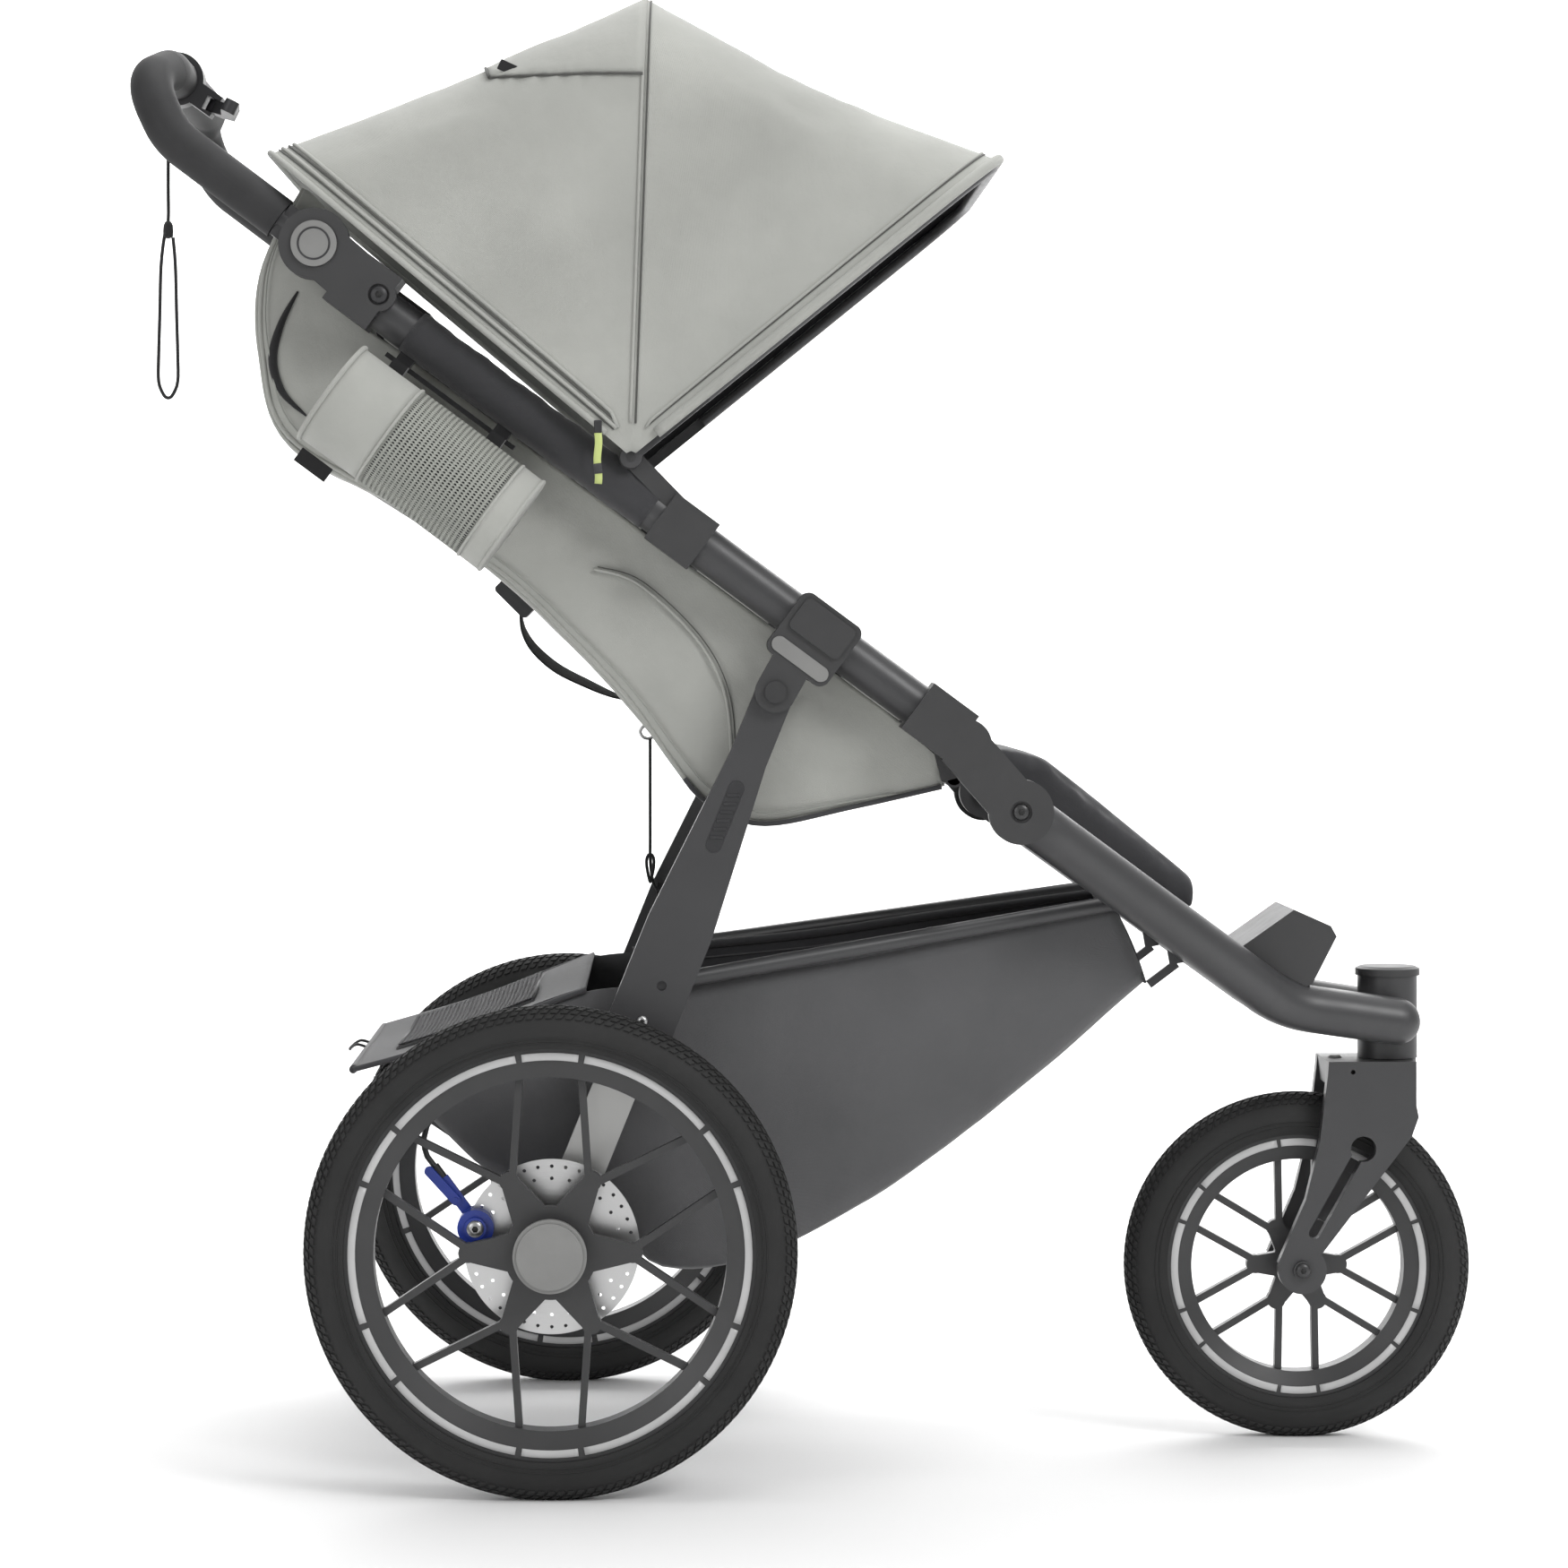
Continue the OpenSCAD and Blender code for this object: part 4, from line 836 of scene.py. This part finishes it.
def seat_back_panel():
    """Outer fabric of the reclining back, from wing to wing."""
    rows, cols, half = 70, 48, 190.5
    line = resample(smooth_path(by_tube(BACK_REAR)), rows)
    grid = np.zeros((rows, cols, 3))
    for i, p in enumerate(line):
        u = i / (rows - 1)
        tangent = unit(line[min(i + 1, rows - 1)] - line[max(i - 1, 0)])
        normal = np.array([tangent[1], -tangent[0]])
        for j, y in enumerate(np.linspace(-half, half, cols)):
            v = abs(y) / half
            lift = 2.5 * (1 - v**4) * math.sin(math.pi * u) ** 0.5
            place = Vector((p[0], y * 0.6, p[1])) * 0.009
            lift += noise.fractal(place, 0.9, 2.1, 3) * 3.5 * (1 - v**6)
            grid[i, j] = at(p - normal * max(lift, -1.5) * 0.9, y)
    return shell("seat_back_fabric", grid, 0.003, M["light_fabric"])


fit(seat_back_panel(), "seat_back", "seat_back")
back_pad = slab("seat_back_pad", by_tube(BACK_PAD), 178, M["liner_fabric"])
back_pad = simulate(back_pad, 3.0, 0.007, 0.006)
fit(back_pad, "seat_back")

cushion = slab("seat_cushion_pad", by_tube(CUSHION), 178, M["liner_fabric"])
cushion = simulate(cushion, 4.0, 0.007, 0.006)
fit(cushion, "frame", "seat_cushion")

calf = slab("calf_pad_fabric", by_tube(CALF), 94, M["dark_fabric"])
calf = simulate(calf, 4.0, 0.006, 0.005)
fit(calf, "frame", "calf_pad")


# ---- harness, straps and buckles: along the tube, above it, and out from the middle ----
SHOULDER = [
    (-345, -98, 70), (-330, -94, 62), (-243, -91, 55),
    (-160, -98, 46), (-88, -112, 36), (-30, -126, 30),
]
LAP = [(22, -128, 178), (34, -116, 120), (44, -104, 60), (47, -97, 20)]
RECLINE = [
    (-214, -139), (-203, -149), (-186, -156), (-160, -158), (-130, -153), (-108, -148), (-92, -142.2),
]


def strap_path(points, side):
    return smooth_path([at(on_tube(a, above), side * y) for a, above, y in points])


def harness():
    parts = []
    for side in (-1, 1):
        line = strap_path(SHOULDER, side)
        parts.append(ribbon("t", line, (0, 1, 0), 0.026, 0.0022, M["webbing"]))
        clip = at(on_tube(-200, -93), side * 51)
        size = (0.034, 0.032, 0.008)
        parts.append(block("t", clip, size, M["clip_plastic"], 36.5, 0.002))
    return join("shoulder_straps", parts)


def lap_straps():
    along = (DOWN[0], 0, DOWN[1])
    return join("lap_straps", [
        ribbon("t", strap_path(LAP, side), along, 0.025, 0.002, M["webbing"]) for side in (-1, 1)
    ])


def recline_webbing():
    """Strap behind the back, which turns a little along its way."""
    line = smooth_path([at(on_tube(*p), 0) for p in RECLINE])
    lean = [0.30 * math.sin(math.pi * i / (len(line) - 1)) for i in range(len(line))]
    twist = [(k * UP[0], 1, k * UP[1]) for k in lean]
    return ribbon("recline_webbing", line, twist, 0.025, 0.0018, M["webbing"])


fit(harness(), "seat_back", "shoulder_harness")
fit(lap_straps(), "frame")
fit(recline_webbing(), "seat_back", "recline_strap")


# ---- cup pocket ----
def cup_wall(origin, turn, z0, z1, mat, thick=1.6, rows=10, swell=0.0):
    """Band of the pocket's wall from z0 to z1 below its mouth, in millimetres."""
    grid = []
    for z in np.linspace(z0, z1, rows):
        row = []
        for k in range(64):
            a = 2 * math.pi * k / 64
            r = 45.2 + 0.6 * z / 187 + swell * math.sin(math.pi * (z - z0) / (z1 - z0))
            r -= 1.2 * (0.5 + 0.5 * math.sin(3 * a + z * 0.02)) * (z / 187)
            row.append(origin + turn @ Vector((r * math.cos(a), r * math.sin(a), z)) / 1000)
        grid.append(row)
    return shell("t", np.array(grid), thick / 1000, mat, wrap=True)


def cup_pocket():
    origin = at(on_tube(-440, -80), -264)
    axis = Vector((DOWN[0], 0, DOWN[1]))
    turn = turn_to(axis)
    fabric_top, net, lining = M["light_fabric"], M["light_net"], M["dark_lining"]
    floor = [(1, 0), (44.0, 0), (44.6, 1.0), (44.0, 2.5), (1, 2.5)]
    parts = [
        cup_wall(origin, turn, 0, 60, fabric_top),
        cup_wall(origin, turn, 60, 163, net, 0.8, 14),
        cup_wall(origin, turn, 61, 162, lining, 0.6, 6, swell=-3.0),
        cup_wall(origin, turn, 163, 185, fabric_top, 1.6, 5),
        lathe("t", origin + axis * 0.183, axis, floor, fabric_top),
    ]
    for z, r, radius in ((1, 45.6, 0.0022), (60, 45.6, 0.0014), (163, 45.0, 0.0014), (184, 44.4, 0.0018)):
        hoop = [
            origin + turn @ Vector((r * math.cos(a), r * math.sin(a), z)) / 1000
            for a in np.linspace(0, 2 * math.pi, 64, endpoint=False)
        ]
        parts.append(tube("t", hoop, radius, fabric_top, 8, closed=True))
    return join("cup_pocket_fabric", parts)


fit(cup_pocket(), "frame", "cup_pocket")

# ---- basket and rear cover ----
RIM = [
    (-150, 334), (-90, 356), (-30, 382), (24, 404), (80, 410),
    (132, 416), (231, 428), (325, 444), (400, 456), (478, 468),
]
BOTTOM = [
    (-150, 330), (-126, 312), (-104, 296), (-66, 255), (-30, 236), (30, 225), (60, 193), (89, 168),
    (145, 167), (206, 187), (289, 233), (358, 282), (418, 329), (475, 378), (505, 404),
]


def basket_half(x):
    if x < 92:
        return 204.5
    return 204.5 - (x - 92) * (204.5 - 96.5) / (518 - 92)


def basket_point(i, j, stations, around, rp, lp):
    """One point of the basket's wall or floor, between the rim rp and the bottom lp."""
    side_share = 0.36
    half_top, half_low = basket_half(rp[0]), basket_half(lp[0])
    depth = np.linalg.norm(rp - lp)
    corner = min(0.42, 42 / max(depth, 1))
    s = -1 + 2 * j / (around - 1)
    on_wall = abs(s) > 1 - side_share
    if on_wall:
        v = (1 - abs(s)) / side_share * (1 - corner * 0.25)
        y = math.copysign((half_top * (1 - v) + half_low * v) * (1 - 0.05 * v**3), s)
    else:
        k = s / (1 - side_share)
        v = 1 - corner * 0.25 * abs(k) ** 6
        y = k * 0.95 * (half_top * (1 - v) + half_low * v)
    p = rp * (1 - v) + lp * v
    sway = noise.fractal(Vector((p[0], y, p[1])) * 0.0105, 0.9, 2.1, 3)
    soft = math.sin(math.pi * i / (stations - 1)) ** 0.4 * min(1.0, depth / 90)
    if on_wall:
        y += math.copysign(1, s) * (-3.5 + 3.2 * sway) * math.sin(math.pi * min(1, v)) * soft
    else:
        p = p + np.array([0.35, 1.0]) * (3.0 + 4.5 * sway) * soft * (1 - abs(k) ** 4)
    return at(p, y)


def basket_fabric():
    stations, around = 64, 61
    rim = resample(smooth_path(RIM), stations)
    low = resample(smooth_path(BOTTOM), stations)
    grid = np.array([
        [basket_point(i, j, stations, around, rim[i], low[i]) for j in range(around)]
        for i in range(stations)
    ])
    # The basket's inner faces take the lighter copy of the dark fabric: painted light inside the basket.
    parts = [shell("t", grid[:, ::-1], 0.0022, [M["dark_fabric"], M["basket_inside_painted_light"]], inner=1)]
    wall = []
    for v in np.linspace(0, 1, 12):
        p = rim[-1] * (1 - v) + low[-1] * v
        half = basket_half(rim[-1][0]) * (1 - v) + basket_half(low[-1][0]) * v
        x = p[0] + 2.0 * math.sin(math.pi * v)
        wall.append([mm(x, y, p[1]) for y in np.linspace(-half + 1, half - 1, 20)])
    parts.append(shell("t", np.array(wall)[:, ::-1], 0.002, M["dark_fabric"]))
    for side in (-1, 1):
        hem = [mm(p[0], side * (basket_half(p[0]) - 0.5), p[1] + 1) for p in rim[22:]]
        parts.append(tube("t", hem, 0.0042, M["piping"], 10))
        seam = [mm(p[0], side * (basket_half(p[0]) - 1.2), p[1] - 11) for p in rim[24:60]]
        parts.append(tube("t", seam, 0.0009, M["thread_dark"], 6))
    for column in (10, 50):
        parts.append(tube("t", grid[8:62, column], 0.0016, M["piping"], 8))
    return join("basket_fabric", parts)


basket = basket_fabric()
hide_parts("basket")
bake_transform(basket)


def rear_cover():
    half = 208
    line = resample(smooth_path([(27, 406.5), (-10, 393), (-62, 372.5), (-120, 353), (-167, 340)]), 30)
    grid = [
        [mm(p[0], y, p[1] + 1.2 * math.sin(y * 0.021) * math.sin(i * 0.2))
         for y in np.linspace(-half, half, 50)]
        for i, p in enumerate(line)
    ]
    pocket = [
        [mm(p[0], y, p[1] + 4.2 - 1.5 * math.cos(y * 0.02)) for y in np.linspace(-150, 150, 40)]
        for p in line[7:25]
    ]
    upper, lower = line[7] + (0, 3), line[24] + (0, 3)
    border = [at(upper, -151), at(lower, -151), at(lower, 151), at(upper, 151)]
    hem = [at(line[-1], y) for y in np.linspace(-half, half, 30)]
    parts = [
        shell("t", np.array(grid)[:, ::-1], 0.0022, M["dark_fabric"]),
        shell("t", np.array(pocket)[:, ::-1], 0.0009, M["net"]),
        tube("t", border, 0.0018, M["piping"], 8, closed=True),
        tube("t", hem, 0.0035, M["piping"], 10),
    ]
    for side in (-1, 1):
        parts.append(tube("t", [at(p, side * half) for p in line], 0.0024, M["piping"], 8))
    near = [(-166, -22, 341), (-176, -20, 344), (-183, -8, 340)]
    far = [(x, -y, z) for x, y, z in reversed(near)]
    loop = smooth_path([mm(*p) for p in near + [(-184, 0, 338)] + far])
    parts.append(tube("t", loop, 0.0013, M["webbing"], 8))
    return join("rear_cover_fabric", parts)


fit(rear_cover(), "rear_legs", "rear_cover")

# ---- free cord: the wrist strap, and the seat tether ----
STRAP = [
    (-1.5, -2.5, 0), (-0.5, -0.6, -7), (0, 0, -16), (0, 0, -32), (0, 0, -60), (0, 0, -86),
    (-3, 0, -98), (-6, 0, -124), (-7, 0, -164), (-8, 0, -199), (-8, 0, -220), (-4, 0, -231),
    (0, 0, -234), (4, 0, -231), (8, 0, -220), (8, 0, -199), (7, 0, -164), (6, 0, -124), (4, 0, -100),
]
STRAP_TOP = HANDLE + np.array([-125.5, 109])
STRAP_Y = -198.5
KNOT = [(1, 0), (4.0, 1.5), (4.4, 6), (4.0, 11), (2.6, 14), (1, 15)]
strap_points = [mm(STRAP_TOP[0] + x, STRAP_Y + y, STRAP_TOP[1] + z) for x, y, z in STRAP]
strap_line = [Vector(p) for p in smooth_path(strap_points, 4)]
strap_cord = tube("wrist_strap_cord", strap_line, 0.0015, M["webbing"], 10)
knot_place = mm(STRAP_TOP[0], STRAP_Y, STRAP_TOP[1] - 101)
knot = lathe("wrist_strap_knot", knot_place, (0, 0, 1), KNOT, M["webbing"], 20)
fit(strap_cord, "handlebar", "wrist_strap")
fit(knot, "handlebar")

TETHER = [
    (78, 194, 606), (78, 195, 592), (78, 197, 566), (78, 200, 540), (78, 204, 512),
    (78, 208, 496), (79, 212, 482), (81, 215, 472), (85, 217, 465),
]


def tether():
    """Cord from the seat's ring to the leg, with its toggle loop and its end tab."""
    ring = [
        mm(76 + 7 * math.cos(a), 195, 612 + 6 * math.sin(a))
        for a in np.linspace(0, 2 * math.pi, 12, endpoint=False)
    ]
    drop = [
        mm(78 + 5 * math.sin(a) * (0.6 + 0.4 * math.cos(a)), 208, 486 + 13 * math.cos(a))
        for a in np.linspace(0, 2 * math.pi, 18, endpoint=False)
    ]
    end = LEG_TOP + 205 * LEG_DIR
    tab = [mm(84, 217, 466), mm(end[0] - 8, 219, end[1]), mm(end[0] + 8, 221, end[1] - 2)]
    return join("seat_tether_cord", [
        tube("t", smooth_path([mm(*p) for p in TETHER], 4), 0.0015, M["webbing"], 8),
        tube("t", smooth_path(ring, 3, True), 0.0016, M["bolt_steel"], 8, closed=True),
        tube("t", drop, 0.0015, M["webbing"], 8, closed=True),
        ribbon("t", tab, (0, 0, 1), 0.014, 0.0018, M["webbing"]),
    ])


tie = tether()
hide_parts("seat_tether")
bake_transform(tie)


# ---- tyre treads, reflector bands, hub details ----
def tread(name, centre, y, outer, width, count):
    """Raised blocks on the tyre's crown and shoulders, in staggered rows."""
    round_r = width / 2
    mid_r = outer - round_r
    verts, faces = [], []

    def block_at(angle, lean, half_angle, half_lean, height, skew):
        base = len(verts)
        for h in (-0.6, height):
            shrink = 1.0 if h < 0 else 0.86
            for da, dl in ((-1, -1), (1, -1), (1, 1), (-1, 1)):
                a = angle + da * half_angle * shrink + skew * dl * half_angle
                b = lean + dl * half_lean * shrink
                r = mid_r + (round_r + h) * math.cos(b)
                out = (round_r + h) * math.sin(b)
                verts.append(mm(centre[0] + r * math.cos(a), y + out, centre[1] + r * math.sin(a)))
        faces.extend(tuple(base + i for i in face) for face in BLOCK_FACES)

    step = 2 * math.pi / count
    rows = [
        (0.0, 0.11, 0.36, 0.0), (0.29, 0.10, 0.36, 0.5),
        (0.55, 0.10, 0.34, 0.0), (0.80, 0.09, 0.34, 0.5),
    ]
    for k in range(count):
        for lean, half_lean, share, shift in rows:
            for s in ((1,) if lean == 0 else (-1, 1)):
                block_at((k + shift) * step, s * lean, share * step, half_lean, 1.3, 0.45 * s)
    return outward(new_object(name, verts, faces, M["tyre_rubber"], smooth=False))


def wheel_trim(name, centre, y, rim_r):
    """Pale reflector bands between the spoke ends."""
    parts = []
    band_r = rim_r - 6.5
    for k in range(6):
        for middle, half in ((60 * k + 30, 8.2), (60 * k, 20.0)):
            turns = np.radians(np.linspace(middle - half, middle + half, 16))
            out = np.stack([np.cos(turns), 0 * turns, np.sin(turns)], axis=1)
            points = [mm(*p) for p in out * band_r + (centre[0], y, centre[1])]
            parts.append(ribbon("t", points, out, 0.0062, 0.0012, M["band"]))
    return join(name, parts)


def sidewall_lines(name, centre, y, outer, width):
    """Two fine moulded lines round each side of a tyre."""
    parts = []
    for s in (-1, 1):
        for r in (outer - 24, outer - 27.5):
            depth = math.sqrt(max(0, (width / 2) ** 2 - (r - (outer - width / 2)) ** 2))
            circle = side_circle(centre, r, y + s * (depth + 0.1), 96)
            parts.append(tube("t", circle, 0.0006, M["tyre_rubber"], 6, closed=True))
    return join(name, parts)


for body, centre, y, outer, width, rim_r, lip, count in (
    ("front_wheel", FRONT_AXLE, 0.0, 150.0, 46.0, 115.0, 0.7, 116),
    ("rear_wheel_right", REAR_AXLE, -300.0, 200.0, 48.0, 167.5, 0.74, 150),
    ("rear_wheel_left", REAR_AXLE, 300.0, 200.0, 48.0, 167.5, 0.74, 150),
):
    fit(tread(body + "_tread", centre, y, outer, width, count), body)
    for s, face in ((-1, "outer"), (1, "inner")):
        band_y = y + s * (width * lip / 2 + 0.5)
        fit(wheel_trim(f"{body}_bands_{face}", centre, band_y, rim_r), body)
    fit(sidewall_lines(body + "_sidewall_lines", centre, y, outer, width), body)


def bolt_head(name, p, y, side, r, body, mat="bolt_steel"):
    """Domed button head with a hexagon socket."""
    axis = (0, side, 0)
    dome = [(1, 0), (r, 0), (r, 1.2), (r * 0.86, 2.6), (r * 0.5, 3.3), (1, 3.4)]
    # The socket is a flat near-black hexagon that paints the shade of the recess.
    socket = [(0.5, 2.9), (r * 0.4, 2.9), (r * 0.4, 3.55), (0.5, 3.55)]
    obj = join(name, [
        lathe("t", at(p, y), axis, dome, M[mat], 32),
        lathe("t", at(p, y), axis, socket, M["socket"], 6),
    ])
    fit(obj, body)


def leg_grips(side, tag):
    """Row of raised ribs on the leg's insert."""
    ribs = []
    for k in range(6):
        place = at(LEG_TOP + (92 + 7.5 * k) * LEG_DIR, side * 244.9)
        size = (0.011, 0.0012, 0.0026)
        ribs.append(block("t", place, size, M["clip_plastic"], 0, 0.0004))
    return join(f"leg_grips_{tag}", ribs)


for side, tag in SIDES:
    caliper, leg = REAR_AXLE + (-62, 17), LEG_TOP + 293 * LEG_DIR
    handle = on_tube(-458, 8)
    bolt_head("handle_screw_" + tag, handle, side * 246.0, side, 7.5, "frame", "clip_plastic")
    bolt_head("front_hinge_bolt_" + tag, FRONT_HINGE, side * 245.0, side, 7.0, "frame", "dark_bolt")
    bolt_head("caliper_screw_" + tag, caliper, side * 284.0, side, 7.0, "rear_legs")
    bolt_head("leg_screw_" + tag, leg, side * 243.6, side, 4.5, "rear_legs")
    circle = side_circle(HANDLE, 13, side * 251.5, 48)
    groove = tube("handle_button_ring_" + tag, circle, 0.0009, M["clip_plastic"], 6, closed=True)
    fit(groove, "handle_button_" + tag)
    fit(leg_grips(side, tag), "rear_legs")
for side, tag in SIDES:
    bolt_head("front_axle_cap_" + tag, FRONT_AXLE, side * 46.8, side, 6.5, "fork", "dark_bolt")


# ---- zip pull, pocket tag and tube sleeves ----
def zip_pull():
    turn = math.radians(139)
    p = PIVOT + np.array([math.cos(turn), math.sin(turn)]) * 36
    line = [mm(p[0] + 0.6 * math.sin(0.9 * k), -257.5, p[1] - 4 - 4.2 * k) for k in range(11)]
    band = [q - Vector((0, 0.0006, 0)) for q in line[6:9]]
    slider = mm(p[0], -256.5, p[1] + 1)
    return join("canopy_zip_pull", [
        ribbon("t", line, (1, 0, 0), 0.0062, 0.0014, M["pull"]),
        ribbon("t", band, (1, 0, 0), 0.0066, 0.0012, M["piping"]),
        block("t", slider, (0.0065, 0.004, 0.011), M["clip_plastic"], 0, 0.001),
    ])


fit(zip_pull(), "frame")
tag_size = (0.031, 0.0016, 0.013)
cup_tag = block("cup_tag", mm(-196, -262, 842), tag_size, M["webbing"], 36.5, 0.0006)
fit(cup_tag, "frame")


def sleeve():
    """Dark fabric sleeve round the near and far tubes between the hinge and the canopy clip."""
    parts = []
    for side in (-1, 1):
        pts = [at(on_tube(a), side * 220) for a in np.linspace(-420, -172, 40)]
        radii = [0.0192 + 0.0005 * math.sin(i * 0.8) + 0.0003 * math.sin(i * 2.1) for i in range(40)]
        parts.append(tube("t", pts, radii, M["dark_fabric"], 32))
    return join("tube_sleeves", parts)


fit(sleeve(), "frame")

# ---- stage and light ----
pale = Nodes("floor", (0.90, 0.90, 0.90), 0.8)
glow = Nodes("backdrop", (0.9, 0.9, 0.9), 0.9)
glow.bsdf.inputs["Emission Color"].default_value = (1, 1, 1, 1)
glow.bsdf.inputs["Emission Strength"].default_value = 0.45
floor_corners = [(-14, -9, 0), (14, -9, 0), (14, 7, 0), (-14, 7, 0)]
floor_mesh = new_object("floor", floor_corners, [(0, 1, 2, 3)], pale.mat, smooth=False)
wall = [(x, 7, z) for z in (-0.2, 14) for x in (-16, 16)]
backdrop = new_object("backdrop", wall, [(0, 1, 3, 2)], glow.mat, smooth=False)


def area_light(name, place, target, size, power, color=(1, 1, 1)):
    data = bpy.data.lights.new(name, "AREA")
    data.shape = "RECTANGLE"
    data.size, data.size_y = size
    data.energy = power
    data.color = color
    obj = bpy.data.objects.new(name, data)
    obj.location = place
    obj.rotation_euler = (Vector(target) - Vector(place)).to_track_quat("-Z", "Y").to_euler()
    bpy.context.scene.collection.objects.link(obj)
    return obj


area_light("key", (2.6, -3.0, 3.4), (0, 0, 0.6), (1.8, 1.8), 105)
area_light("fill", (-3.0, -3.6, 2.0), (0, 0, 0.5), (2.4, 2.4), 42)
area_light("top", (0.1, 0.2, 3.6), (0, 0, 0.5), (3.0, 2.4), 62)
area_light("back", (0.5, 3.4, 2.6), (0, 0, 0.7), (3.2, 1.6), 40)
area_light("wash", (0, 4.6, 5.0), (0, 7, 1.5), (8.0, 2.0), 420)
world = bpy.data.worlds.new("studio")
world.use_nodes = True
world.node_tree.nodes["Background"].inputs["Color"].default_value = (1, 1, 1, 1)
world.node_tree.nodes["Background"].inputs["Strength"].default_value = 0.42
bpy.context.scene.world = world
bpy.context.scene.view_settings.view_transform = "Standard"
